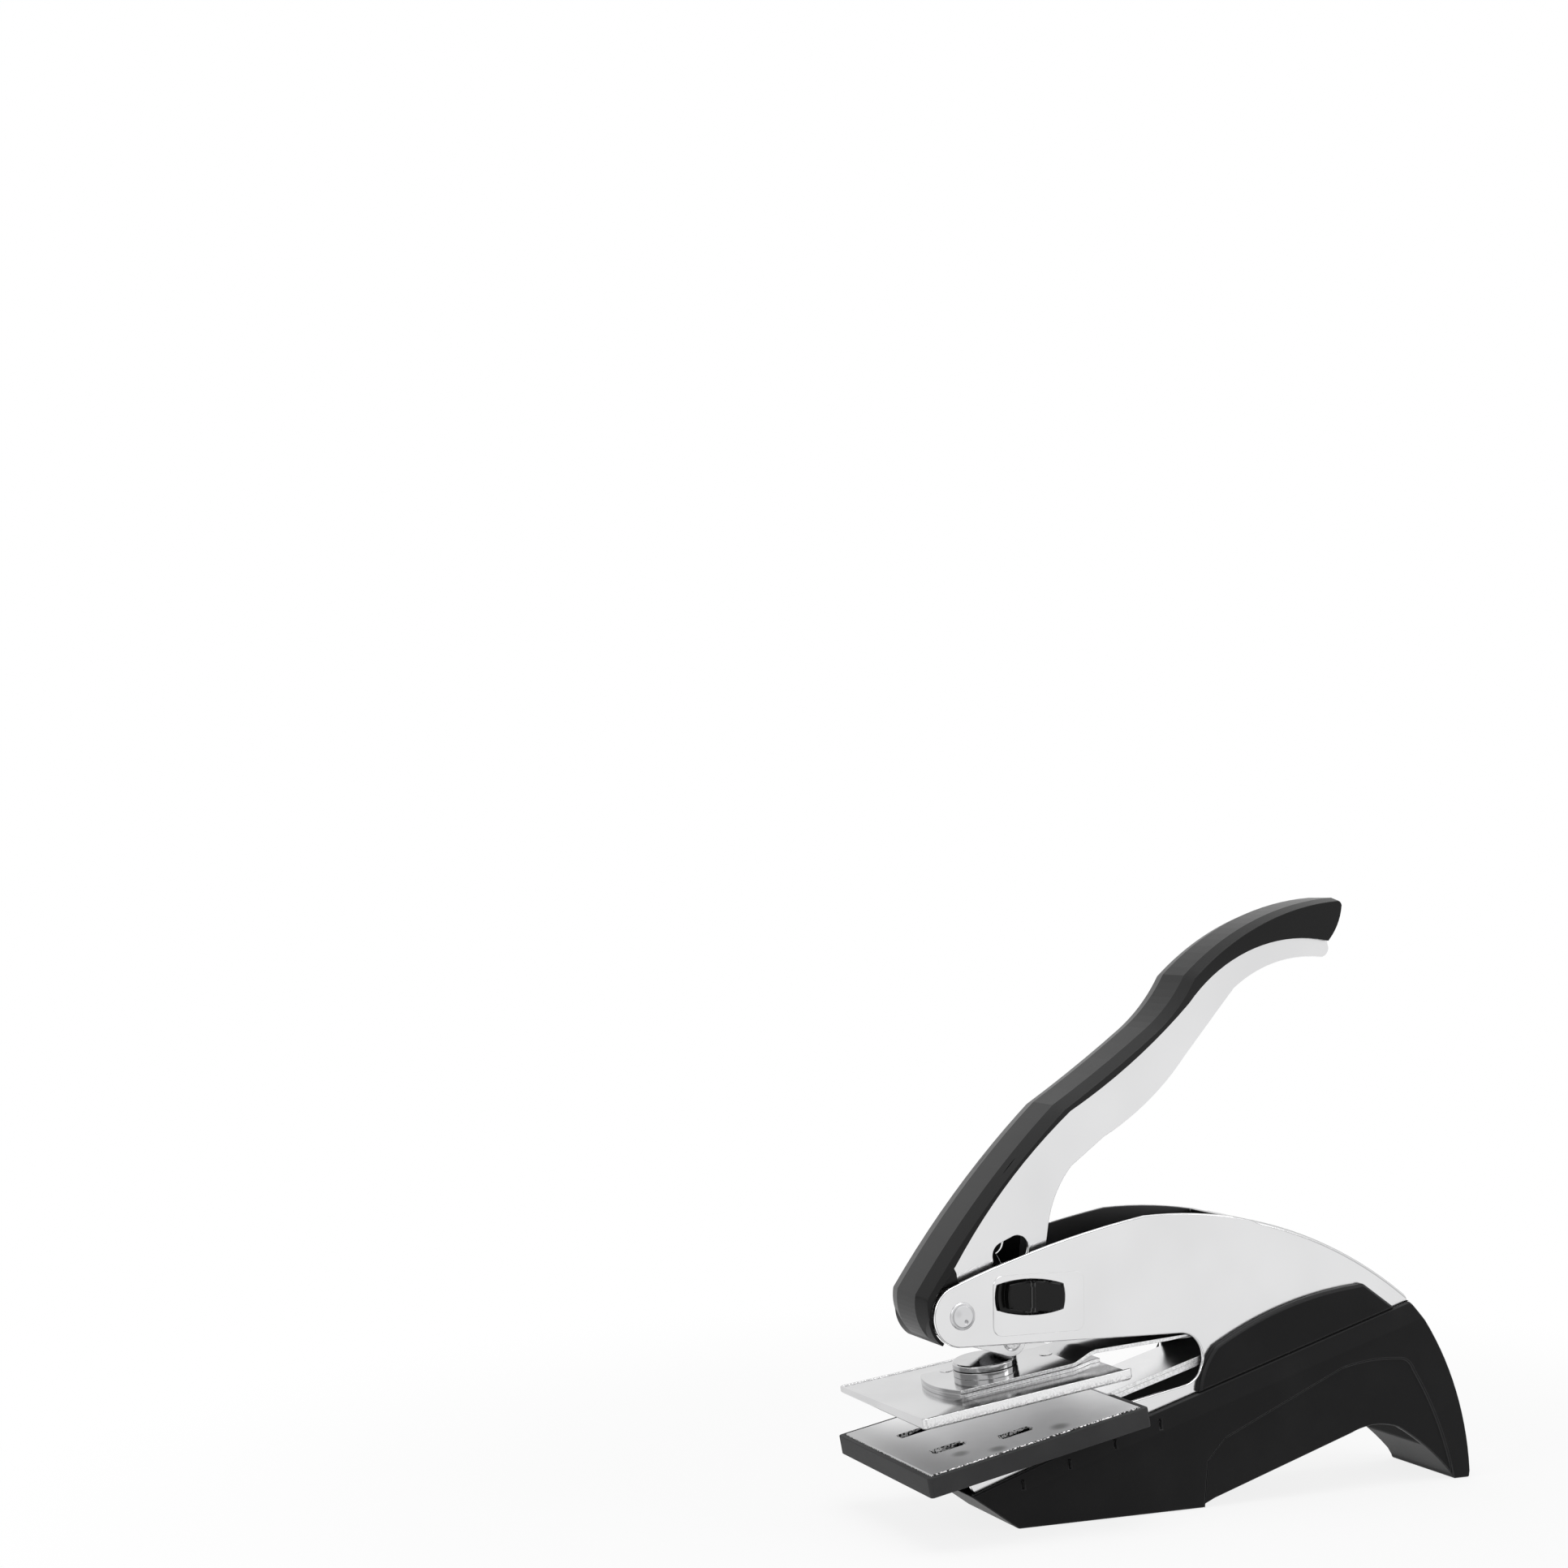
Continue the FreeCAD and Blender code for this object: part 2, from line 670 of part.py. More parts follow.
# Lower arm: a stiff plate under a spring strip. The strip folds back over itself
# at the rear, and the upper jaw bends about the end of that fold.
arm = new_body("lower_arm_plate", "arm_x", "arm_z", "arm_tilt")
grow(arm, outline(arm, "XY_Plane", box(
    "0 - arm_front", "arm_plate_length", "0 - strip_width / 2", "strip_width / 2"),
    "0 - strip_thickness - arm_plate_thickness"), "arm_plate_thickness", False)

spring = new_body("spring_strip", "arm_x", "arm_z", "arm_tilt")
fold_turn = "(90 - arm_tilt + upper_tilt - rear_strip_drop)"
fold_out = "(bend_radius + strip_thickness)"
grow(spring, outline(spring, "XZ_Plane", [
    ("0 - arm_front", "0 - strip_thickness"),
    ("arm_length", "0 - strip_thickness", fold_out, "L"),
    ("arm_length + " + fold_out + " * cos" + fold_turn,
     "bend_radius + " + fold_out + " * sin" + fold_turn),
    ("arm_length + bend_radius * cos" + fold_turn,
     "bend_radius + bend_radius * sin" + fold_turn, "bend_radius", "R"),
    ("arm_length", "0"),
    ("0 - arm_front", "0"),
]), "strip_width")

# Upper jaw, in its own frame at the front top edge of its plate: the dished die
# plate, the backing plate in it, and the spring strip that steps up at the rear.
upper = new_body("upper_die_plate", "upper_x", "upper_z", "upper_tilt")
grow(upper, outline(upper, "XY_Plane", box(
    "0", "upper_length", "0 - upper_width / 2", "upper_width / 2"), "0 - upper_thickness"),
    "upper_thickness", False)
ease(upper, "Fillet", "plate_corner", upright)
ease(upper, "Chamfer", "upper_edge", lambda e: all(
    v.Point.z < 0.01 - worth("upper_thickness") for v in e.Vertexes))
cut(upper, outline(upper, "XY_Plane", box(
    "upper_rim", "upper_length + 1", "upper_rim - upper_width / 2",
    "upper_width / 2 - upper_rim"), "0 - upper_recess"), "upper_thickness", False, True)
ease(upper, "Fillet", "upper_rim / 4", lambda e: all(v.Point.z > -0.01 for v in e.Vertexes))


def tongue(end):
    """Strip with a wider head that is bowed in front."""
    half = "strip_width / 2"
    head = "backing_start + backing_head_length"
    nose = "backing_start + backing_nose_depth"
    return [
        (nose, "backing_half_width", "backing_nose_radius", "L"),
        (nose, "0 - backing_half_width"),
        (head, "0 - backing_half_width"),
        (head + " + backing_taper", "0 - " + half),
        (end, "0 - " + half),
        (end, half),
        (head + " + backing_taper", half),
        (head, "backing_half_width"),
    ]


backing = new_body("backing_plate", "upper_x", "upper_z", "upper_tilt")
grow(backing, outline(backing, "XY_Plane", tongue("upper_length"), "0 - upper_recess"),
     "strip_thickness", False)

leaf = new_body("upper_strip", "upper_x", "upper_z", "upper_tilt")
leaf_low = "strip_thickness - upper_recess"
leaf_top = "strip_thickness * 2 - upper_recess"
step_end = "joggle_start + joggle_length"
fall = "(leaf_end - joggle_start - joggle_length) * tan(rear_strip_drop)"
grow(leaf, outline(leaf, "XZ_Plane", [
    ("backing_start", leaf_low),
    ("joggle_start", leaf_low),
    (step_end, leaf_low + " + joggle_rise"),
    ("leaf_end", leaf_low + " + joggle_rise - " + fall),
    ("leaf_end", leaf_top + " + joggle_rise - " + fall),
    (step_end, leaf_top + " + joggle_rise"),
    ("joggle_start", leaf_top),
    ("backing_start", leaf_top),
]), "backing_half_width * 2")
spare = "backing_half_width + 5"
cut(leaf, outline(leaf, "XY_Plane", [
    ("backing_start - 5", spare),
    ("backing_start - 5", "0 - " + spare.replace("+", "-")),
    ("leaf_end + 5", "0 - " + spare.replace("+", "-")),
    ("leaf_end + 5", "0 - strip_width / 2"),
    ("backing_start + backing_head_length + backing_taper", "0 - strip_width / 2"),
    ("backing_start + backing_head_length", "0 - backing_half_width"),
    ("backing_start + backing_nose_depth", "0 - backing_half_width", "backing_nose_radius", "R"),
    ("backing_start + backing_nose_depth", "backing_half_width"),
    ("backing_start + backing_head_length", "backing_half_width"),
    ("backing_start + backing_head_length + backing_taper", "strip_width / 2"),
    ("leaf_end + 5", "strip_width / 2"),
    ("leaf_end + 5", spare),
], "10"), "30", False)
rivet_spots = [("rivet_front", "rivet_front_side", "rivet_radius"),
               ("rivet_rear", "rivet_rear_side", "rivet_radius")]
for part_body in (upper, backing, leaf):
    cut(part_body, rounds(part_body, "XY_Plane", rivet_spots), "upper_thickness * 4")


def disc(label, base, height, edge_size):
    """Round of the puck, eased at its upper rim."""
    body = new_body(label, "upper_x", "upper_z", "upper_tilt")
    grow(body, rounds(body, "XY_Plane", [("puck_place", "0", "puck_radius")], base), height, False)
    ease(body, "Chamfer", edge_size, lambda e: e.CenterOfMass.z > worth(base) + 0.1 and
         len(e.Vertexes) == 1)
    return body


disc("puck_base", leaf_top, "puck_base_height", "puck_edge / 2")
disc("puck_cap", leaf_top + " + puck_base_height", "puck_cap_height", "puck_edge")

rivets = new_body("jaw_rivets", "upper_x", "upper_z", "upper_tilt")
for spot in rivet_spots:
    grow(rivets, rounds(rivets, "XY_Plane", [spot], "0 - upper_thickness"),
         "upper_thickness + " + leaf_top + " + rivet_head", False)

# The seam between the lever's steel and its grip is three arcs in an S. Pieces
# that follow it stand off by a distance along its normals.
seam_spots = ["seam_start", "seam_knee", "seam_bow", "seam_tail"]
seam_bends = ["seam_first_radius + ", "seam_second_radius - ", "seam_third_radius + "]


def seam(off, back=False):
    """Corners and arcs along the seam, towards the tail or back from it."""
    spots = []
    for name in seam_spots:
        spots.append((name + "_x + (" + off + ") * cos(" + name + "_angle)",
                      name + "_z + (" + off + ") * sin(" + name + "_angle)"))
    bends = [b + "(" + off + ")" for b in seam_bends]
    if back:
        turns = ["R", "L", "L"]
        path = [spots[3] + (bends[2], "L"), spots[2] + (bends[1], "R"), spots[1] + (bends[0], "L")]
        return path + [spots[0]]
    path = [spots[0] + (bends[0], "R"), spots[1] + (bends[1], "L"), spots[2] + (bends[2], "R")]
    return path + [spots[3]]


def polar(radius, angle, x="pivot_x", z="pivot_z"):
    """Point at an angle round a centre."""
    return (x + " + (" + radius + ") * cos(" + angle + ")", z + " + (" + radius + ") * sin(" + angle + ")")


# Lever: a steel channel, folded along the seam and open below, with an eye round
# the rivet, a lobe that carries the roller, and a slot for the lock bar.
lever = new_body("lever_channel")
grow(lever, outline(lever, "XZ_Plane", seam("channel_lap", True) + [
    polar("lever_eye_radius", "150") + ("lever_eye_radius", "L"),
    polar("lever_eye_radius", "belly_turn"),
    polar("lobe_radius", "belly_turn", "axle_x", "axle_z") + ("lobe_radius", "L"),
    polar("lobe_radius", "10", "axle_x", "axle_z"),
    ("lever_knee_x - 1", "lever_knee_z - 13.5"),
    ("lever_knee_x", "lever_knee_z"),
    ("lever_knee_x + 0.8", "lever_knee_z + 5.7", "lever_knee_radius", "R"),
    ("lever_knee_x + lever_throat_run", "lever_knee_z + lever_throat_rise"),
    ("lever_knee_x + lever_belly_run", "lever_knee_z + lever_belly_rise", "lever_belly_radius", "L"),
    ("lever_knee_x + lever_hip_run", "lever_knee_z + lever_hip_rise"),
    ("lever_knee_x + lever_tail_run", "lever_knee_z + lever_tail_rise", "lever_tail_radius", "R"),
    ("seam_tail_x - 2", "seam_tail_z - 4.5", "lever_tip_radius", "L"),
    ("seam_tail_x + 1.0", "seam_tail_z - 1.6"),
]), "lever_half_width * 2")
cut(lever, outline(lever, "XZ_Plane", [
    ("seam_tail_x + 12", "seam_tail_z + channel_lap - lever_sheet")]
    + seam("channel_lap - lever_sheet", True) + [
    ("pivot_x - 16", "pivot_z + 6"),
    ("pivot_x - 16", "pivot_z - 24"),
    ("seam_tail_x + 12", "pivot_z - 24"),
]), "(lever_half_width - lever_sheet) * 2")
cut(lever, rounds(lever, "XZ_Plane", [("pivot_x", "pivot_z", "pivot_pin_radius + pin_fit")]),
    "lever_half_width * 3")
cut(lever, rounds(lever, "XZ_Plane", [("axle_x", "axle_z", "axle_radius")]), "lever_half_width * 3")
lock_reach = "sqrt((lock_x - pivot_x)^2 + (lock_z - pivot_z)^2)"
lock_turn = "atan((lock_z - pivot_z) / (lock_x - pivot_x)) / (1 deg)"
slot_half = "(lock_bar_radius + lock_clearance)"
slot_in = lock_reach + " - " + slot_half + " * 0.98"
slot_out = lock_reach + " + " + slot_half + " * 0.98"
cut(lever, outline(lever, "XZ_Plane", [
    polar(slot_in, lock_turn),
    polar(slot_out, lock_turn) + (slot_out, "L"),
    polar(slot_out, lock_turn + " + stroke"),
    polar(slot_in, lock_turn + " + stroke") + (slot_in, "R"),
]), "lever_half_width * 3")


def turned_back(dx, dz, angle):
    """Point that stands at dx, dz from the rivet, seen from the turned lever."""
    return ("pivot_x + (" + dx + ") * cos(" + angle + ") - (" + dz + ") * sin(" + angle + ")",
            "pivot_z + (" + dx + ") * sin(" + angle + ") + (" + dz + ") * cos(" + angle + ")")


for angle in ("0", "stroke"):
    near_x = "lock_x - pivot_x"
    far_x = near_x + " - lock_travel"
    up = "lock_z - pivot_z + " + slot_half
    down = "lock_z - pivot_z - " + slot_half
    cut(lever, outline(lever, "XZ_Plane", [
        turned_back(far_x, down, angle),
        turned_back(near_x, down, angle) + (slot_half + " * 1.001", "L"),
        turned_back(near_x, up, angle),
        turned_back(far_x, up, angle) + (slot_half + " * 1.001", "L"),
    ]), "lever_half_width * 3")
cut(lever, outline(lever, "XZ_Plane", [
    ("notch_x + notch_radius * 0.39", "notch_z - notch_radius * 0.92"),
    ("notch_x + notch_run + notch_radius * 0.39", "notch_z + notch_rise - notch_radius * 0.92",
     "notch_radius * 1.001", "L"),
    ("notch_x + notch_run - notch_radius * 0.39", "notch_z + notch_rise + notch_radius * 0.92"),
    ("notch_x - notch_radius * 0.39", "notch_z + notch_radius * 0.92", "notch_radius * 1.001", "L"),
]), "lever_half_width * 3")

# Grip: moulded cap over the lever's back, crowned across, deep at the tail, and
# hooded over the nose of the frame. Its cheeks reach down inside the frame.
grip = new_body("grip")
grip_side = [
    ("grip_tail_x - 4.3", "seam_tail_z + 0.1", "grip_tail_face_radius", "L"),
    ("grip_tail_x - 0.1", "grip_tail_z - 2.2", "grip_tip_radius", "L"),
    ("grip_tail_x - 1.9", "grip_tail_z - 0.05", "grip_tail_back_radius", "L"),
    ("seam_bow_x + grip_hump_run", "seam_bow_z + grip_hump_rise", "grip_hump_radius", "R"),
    ("seam_bow_x - grip_waist_run", "seam_bow_z - grip_waist_drop", "grip_waist_radius", "R"),
    ("seam_knee_x - grip_knee_run", "seam_knee_z + grip_knee_rise", "grip_knee_radius", "L"),
    ("pivot_x - grip_chin_run", "pivot_z + grip_chin_rise", "grip_chin_radius", "L"),
    ("pivot_x - grip_toe_run", "pivot_z - grip_toe_drop"),
    ("pivot_x + 1.1", "pivot_z + 6.4"),
] + seam("0 - channel_lap - 0.6")
grow(grip, outline(grip, "XZ_Plane", grip_side), "grip_face_half_width * 2")
crown = "atan(grip_crown_drop / (grip_half_width - grip_face_half_width)) / (1 deg)"
for sign in (1, -1):
    lift = ("" if sign > 0 else "0 - ") + "grip_face_half_width"
    grow(grip, outline(grip, "XZ_Plane", grip_side, lift), "grip_half_width - grip_face_half_width",
         False, sign < 0, "0 - " + crown)
hood = "nose_radius + grip_hood_gap"
foot = [("pivot_x - 2.9", "pivot_z - 34"), polar(hood, "238") + (hood, "R")]
tail_right = "seam_tail_x + 12"
cut(grip, outline(grip, "XZ_Plane", seam("0") + [
    (tail_right, "seam_tail_z + 0.2"), (tail_right, "pivot_z - 34")] + foot + [
    polar(hood, "142"),
    ("seam_start_x - 4", "seam_start_z - 6.1"),
    ("seam_start_x + 2.5", "seam_start_z - 4.6"),
]), "grip_half_width * 4")
cut(grip, outline(grip, "XZ_Plane", seam("channel_lap + channel_gap") + [
    ("seam_tail_x + 1.6", "seam_tail_z + channel_lap"),
    ("seam_tail_x + 1.6", "pivot_z - 34")] + foot + [
    polar(hood, "150"),
]), "(lever_half_width + channel_gap) * 2")
for sign in (1, -1):
    lift = ("" if sign > 0 else "0 - ") + "cheek_half_width"
    cut(grip, outline(grip, "XZ_Plane", [
        ("seam_start_x - 5.9", "seam_start_z - 7.7"),
        ("seam_start_x", "seam_start_z"),
        ("seam_start_x + 4.7", "seam_start_z"),
        ("seam_start_x + 4.7", "seam_start_z - 8.8"),
        ("seam_start_x - 5.9", "seam_start_z - 8.8"),
    ], lift), "grip_half_width", False, sign > 0)
    side = "" if sign > 0 else "0 - "
    cut(grip, outline(grip, "XY_Plane", [
        ("seam_knee_x - 4", side + "grip_half_width"),
        ("grip_tail_x + 4", side + "grip_tail_half_width"),
        ("grip_tail_x + 4", side + "grip_half_width * 2"),
        ("seam_knee_x - 4", side + "grip_half_width * 2"),
    ]), "grip_tail_z + 10", False, True)

# Roller, turning on an axle headed over outside the lever plates.
axle = new_body("roller_axle", "axle_x", "axle_z")
turn(axle, outline(axle, "XY_Plane", [
    ("0", "0 - lever_half_width - axle_head_height"),
    ("axle_head_radius - axle_head_height", "0 - lever_half_width - axle_head_height"),
    ("axle_head_radius", "0 - lever_half_width - axle_head_height / 3"),
    ("axle_head_radius", "0 - lever_half_width"),
    ("axle_radius", "0 - lever_half_width"),
    ("axle_radius", "lever_half_width"),
    ("axle_head_radius", "lever_half_width"),
    ("axle_head_radius", "lever_half_width + axle_head_height / 3"),
    ("axle_head_radius - axle_head_height", "lever_half_width + axle_head_height"),
    ("0", "lever_half_width + axle_head_height"),
]))
roller = new_body("roller", "axle_x", "axle_z")
roller_half = "(lever_half_width - lever_sheet - roller_gap)"
turn(roller, outline(roller, "XY_Plane", [
    ("axle_radius + pin_fit", "0 - " + roller_half),
    ("roller_radius - roller_gap", "0 - " + roller_half),
    ("roller_radius", "roller_gap - " + roller_half),
    ("roller_radius", roller_half + " - roller_gap"),
    ("roller_radius - roller_gap", roller_half),
    ("axle_radius + pin_fit", roller_half),
]))

# Lock: a bar through the slots of the lever, with a flanged button at each end
# that slides in the window of the frame.
bar = new_body("lock_bar", "lock_x", "lock_z")
flange_in = "(frame_half_width - frame_sheet - fit * 2 - button_flange_thickness)"
grow(bar, rounds(bar, "XZ_Plane", [("0", "0", "lock_bar_radius")]), flange_in + " * 2")


def button(label, sign):
    """Flange behind the wall, a button through the window and a rib across it."""
    body = new_body(label)
    side = "" if sign > 0 else "0 - "
    flange_out = side + "(" + flange_in + " + button_flange_thickness)"
    face = "frame_half_width + button_proud"
    grow(body, outline(body, "XZ_Plane", barrel("button_flange", "lock_travel"), side + flange_in),
         "button_flange_thickness", False, sign < 0)
    grow(body, outline(body, "XZ_Plane", barrel("0 - button_gap", "lock_travel"), flange_out),
         face + " - " + flange_in + " - button_flange_thickness", False, sign < 0)
    ease(body, "Fillet", "button_edge", rim_at(-sign * worth(face)))
    grow(body, outline(body, "XZ_Plane", box(
        "lock_x - button_rib_width / 2", "lock_x + button_rib_width / 2",
        "window_z - window_end_height * 0.42", "window_z + window_end_height * 0.42"),
        side + "(" + face + " - button_edge)"), "button_edge + button_rib_height", False, sign < 0)
    return body


button("lock_button_right", 1)
button("lock_button_left", -1)

doc.removeObject(desk.Name)
doc.recompute()
for obj in doc.Objects:
    if "Invalid" in obj.State or "Error" in obj.State:
        raise RuntimeError(obj.Label + ": " + ", ".join(obj.State))
for body in pieces:
    if body.Shape.isNull() or not body.Shape.isValid() or not body.Shape.Solids:
        raise RuntimeError(body.Label + ": the shape is not sound")
for body in pieces:
    body.Shape.exportStep("parts/" + body.Label + ".step")
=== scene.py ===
import bmesh
import bpy
import math
from mathutils import Matrix, Vector


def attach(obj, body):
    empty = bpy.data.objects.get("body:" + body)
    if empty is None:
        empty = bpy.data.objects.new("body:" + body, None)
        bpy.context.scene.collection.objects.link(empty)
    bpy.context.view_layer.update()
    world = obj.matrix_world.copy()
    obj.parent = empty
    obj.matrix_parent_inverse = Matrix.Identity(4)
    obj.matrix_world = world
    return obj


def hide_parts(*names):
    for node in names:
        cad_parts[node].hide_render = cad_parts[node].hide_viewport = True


# Seal embosser with its lever up: a polished steel frame and lever, a moulded
# grip and shoe, and two square plates that are pressed together by a roller.

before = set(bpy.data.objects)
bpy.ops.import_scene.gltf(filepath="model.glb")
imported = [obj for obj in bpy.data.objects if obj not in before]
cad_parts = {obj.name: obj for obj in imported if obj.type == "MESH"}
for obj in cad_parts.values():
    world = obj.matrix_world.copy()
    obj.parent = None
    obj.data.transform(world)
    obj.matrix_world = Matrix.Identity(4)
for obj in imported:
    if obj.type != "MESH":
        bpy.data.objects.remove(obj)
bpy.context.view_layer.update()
bpy.ops.object.select_all(action="DESELECT")

# Camera: in front of the jaws and a little above them, turned away to the left,
# so that the object stands low in the right half of the view.
MM = 0.001
EYE = Vector((-351.29, -566.63, 159.74)) * MM
swing, rise, lean = math.radians(22.821), math.radians(2.772), math.radians(-0.152)
ahead = Vector((math.sin(swing) * math.cos(rise), math.cos(swing) * math.cos(rise), math.sin(rise)))
level = Vector((math.cos(swing), -math.sin(swing), 0))
above = level.cross(ahead)
right = level * math.cos(lean) + above * math.sin(lean)
above = above * math.cos(lean) - level * math.sin(lean)
lens = bpy.data.cameras.new("camera")
lens.sensor_width = 36
lens.lens = 55.61
lens.clip_start = 0.01
camera = bpy.data.objects.new("camera", lens)
bpy.context.scene.collection.objects.link(camera)
turned = Matrix((right, above, -ahead)).transposed().to_4x4()
camera.matrix_world = Matrix.Translation(EYE) @ turned
bpy.context.scene.camera = camera
bpy.context.scene.view_settings.view_transform = "Standard"


# Lamps: a broad one overhead and a smaller one in front to either side, all soft.
# Places and widths are in metres, powers in watts.
def lamp(name, place, aim, wide, power):
    """Soft square lamp at a place, turned to what it lights."""
    light = bpy.data.lights.new(name, "AREA")
    light.size = wide
    light.energy = power
    holder = bpy.data.objects.new(name, light)
    bpy.context.scene.collection.objects.link(holder)
    away = Vector(place) - Vector(aim)
    turn = away.to_track_quat("Z", "Y").to_matrix().to_4x4()
    holder.matrix_world = Matrix.Translation(place) @ turn


lamp("lamp_over", (-0.1, -0.1, 0.9), (0, 0, 0.05), 0.55, 3.2)
lamp("lamp_left", (-0.9, -0.3, 0.5), (0, 0, 0.06), 0.35, 1.1)
lamp("lamp_right", (0.7, -0.7, 0.6), (0, 0, 0.06), 0.3, 0.9)


# Table: a wide pale sheet that takes soft shadows and is white where it is looked
# at. Metal mirrors it white too, apart from one dark stretch left of the viewer.
class Wire:
    """Output socket of a node, with the sums that can be done on it."""

    def __init__(self, nodes, socket):
        self.nodes = nodes
        self.socket = socket

    def math(self, operation, *values):
        return self.nodes.node("Math", {"operation": operation}, dict(enumerate(values)))

    def __add__(self, other):
        return self.math("ADD", self, other)

    def __radd__(self, other):
        return self.math("ADD", other, self)

    def __sub__(self, other):
        return self.math("SUBTRACT", self, other)

    def __rsub__(self, other):
        return self.math("SUBTRACT", other, self)

    def __mul__(self, other):
        return self.math("MULTIPLY", self, other)

    def __rmul__(self, other):
        return self.math("MULTIPLY", other, self)

    def __pow__(self, other):
        return self.math("POWER", self, other)

    def __abs__(self):
        return self.math("ABSOLUTE", self)

    def root(self):
        return self.math("SQRT", self)

    def least(self, other):
        return self.math("MINIMUM", self, other)

    def most(self, other):
        return self.math("MAXIMUM", self, other)

    def step(self, start, end):
        """0 before the start and 1 after the end, smooth between them."""
        return self.nodes.node("MapRange", {"interpolation_type": "SMOOTHSTEP"}, {
            "Value": self, "From Min": start, "From Max": end}, "Result")

    def near(self, middle, inner, outer):
        """1 within the inner distance from the middle and 0 past the outer one."""
        return 1 - abs(self - middle).step(inner, outer)


class Nodes:
    """Node tree of a material or of the room."""

    def __init__(self, tree):
        self.tree = tree

    def node(self, kind, settings=None, sockets=None, output=0):
        """Adds a node with its settings made first, then values or wires put in."""
        node = self.tree.nodes.new("ShaderNode" + kind)
        for name, value in (settings or {}).items():
            setattr(node, name, value)
        for name, value in (sockets or {}).items():
            if isinstance(value, Wire):
                self.tree.links.new(value.socket, node.inputs[name])
            else:
                node.inputs[name].default_value = value
        return Wire(self, node.outputs[output])

    def axes(self, where):
        """The three coordinates of a place or a direction."""
        split = self.node("SeparateXYZ", {}, {0: where})
        return [Wire(self, out) for out in split.socket.node.outputs]


class Finish(Nodes):
    """Material of one piece or of like pieces."""

    def __init__(self, name, **plain):
        self.material = bpy.data.materials.new(name)
        self.material.use_nodes = True
        super().__init__(self.material.node_tree)
        self.shader = self.tree.nodes["Principled BSDF"]
        for socket, value in plain.items():
            self.shader.inputs[socket.replace("_", " ")].default_value = value

    def place(self, shift=(0, 0, 0), turn=(0, 0, 0), scale=(1, 1, 1)):
        """Object coordinates, centred, turned or stretched."""
        spot = self.node("TexCoord", output="Object")
        return self.node("Mapping", {"vector_type": "TEXTURE"}, {
            "Vector": spot, "Location": shift, "Rotation": turn, "Scale": scale})

    def noise(self, where, scale, detail=3.0):
        return self.node("TexNoise", {}, {"Vector": where, "Scale": scale, "Detail": detail})

    def blend(self, amount, first, second):
        """Colour that goes from the first to the second."""
        return self.node("Mix", {"data_type": "RGBA"}, {0: amount, 6: first, 7: second}, 2)

    def facing(self):
        """How far the surface faces along Y, 1 on the flat walls and 0 on edges."""
        return abs(self.axes(self.node("TexCoord", output="Normal"))[1])

    def put(self, **wires):
        for socket, wire in wires.items():
            self.tree.links.new(wire.socket, self.shader.inputs[socket.replace("_", " ")])

    def raise_by(self, height, depth):
        """Relief of so many metres."""
        self.put(Normal=self.node("Bump", {}, {"Distance": depth, "Height": height}))


def apart(across, up, middle=(0, 0)):
    """Distance from a point over two coordinates."""
    return ((across - middle[0]) ** 2 + (up - middle[1]) ** 2).root()


def bearing_of(east, north):
    """Degrees that a direction lies to the right of the viewer's own, from the object."""
    rightwards = east * math.cos(swing) - north * math.sin(swing)
    towards = 0 - east * math.sin(swing) - north * math.cos(swing)
    return rightwards.math("ARCTAN2", rightwards, towards) * (180 / math.pi)


bpy.ops.mesh.primitive_plane_add(size=6.0, location=(0, 0, -0.2 * MM))
table = bpy.context.object
table.name = "table"
table_finish = Finish("table_white", Base_Color=(0.9, 0.9, 0.9, 1), Roughness=0.85, Specular_IOR_Level=0.1)
glossy = table_finish.node("LightPath", output="Is Glossy Ray")
seen = (table_finish.node("LightPath", output="Is Camera Ray") + glossy).least(1.0)
east, north, _ = table_finish.axes(table_finish.place())
far_out = apart(east, north)
bearing = bearing_of(east, north)
dark_stretch = bearing.step(-25, -20) * (1 - bearing.step(-9, -4)) * far_out.step(0.10, 0.13)
white = table_finish.blend(glossy * dark_stretch * 0.9, (1, 1, 1, 1), (0, 0, 0, 1))
glow = table_finish.node("Emission", {}, {"Color": white})
shadowed = Wire(table_finish, table_finish.shader.outputs[0])
whiteness = seen * (0.84 + 0.16 * far_out.step(0.13, 0.34))
sheet = table_finish.node("MixShader", {}, {0: whiteness, 1: shadowed, 2: glow})
table_finish.tree.links.new(sheet.socket, table_finish.tree.nodes["Material Output"].inputs[0])
table.data.materials.append(table_finish.material)

# Room: white where it is looked at, and an even soft light. What metal mirrors has
# two darker gaps between the light walls, low down, so that round pieces show.
ROOM_LIGHT, WALL_LIGHT = 0.45, 0.97
room = bpy.data.worlds.new("room")
bpy.context.scene.world = room
room.use_nodes = True
walls = Nodes(room.node_tree)
mirrored = walls.node("LightPath", output="Is Glossy Ray")
through = walls.node("LightPath", output="Is Transmission Ray")
seen = (walls.node("LightPath", output="Is Camera Ray") + through).least(1.0)
east, north, up = walls.axes(walls.node("TexCoord", output="Generated"))
bearing = bearing_of(east, north)
narrow_gap = bearing.step(-4, 2) * (1 - bearing.step(13, 20))
wide_gap = bearing.step(-118, -100) * (1 - bearing.step(-42, -30))
low_down = 1 - up.step(0.12, 0.4)
reflected = WALL_LIGHT - low_down * (0.85 * narrow_gap + 0.6 * wide_gap)
strength = seen + (1 - seen) * (mirrored * reflected + (1 - mirrored) * ROOM_LIGHT)
backdrop = room.node_tree.nodes["Background"]
backdrop.inputs["Color"].default_value = (1, 1, 1, 1)
room.node_tree.links.new(strength.socket, backdrop.inputs["Strength"])


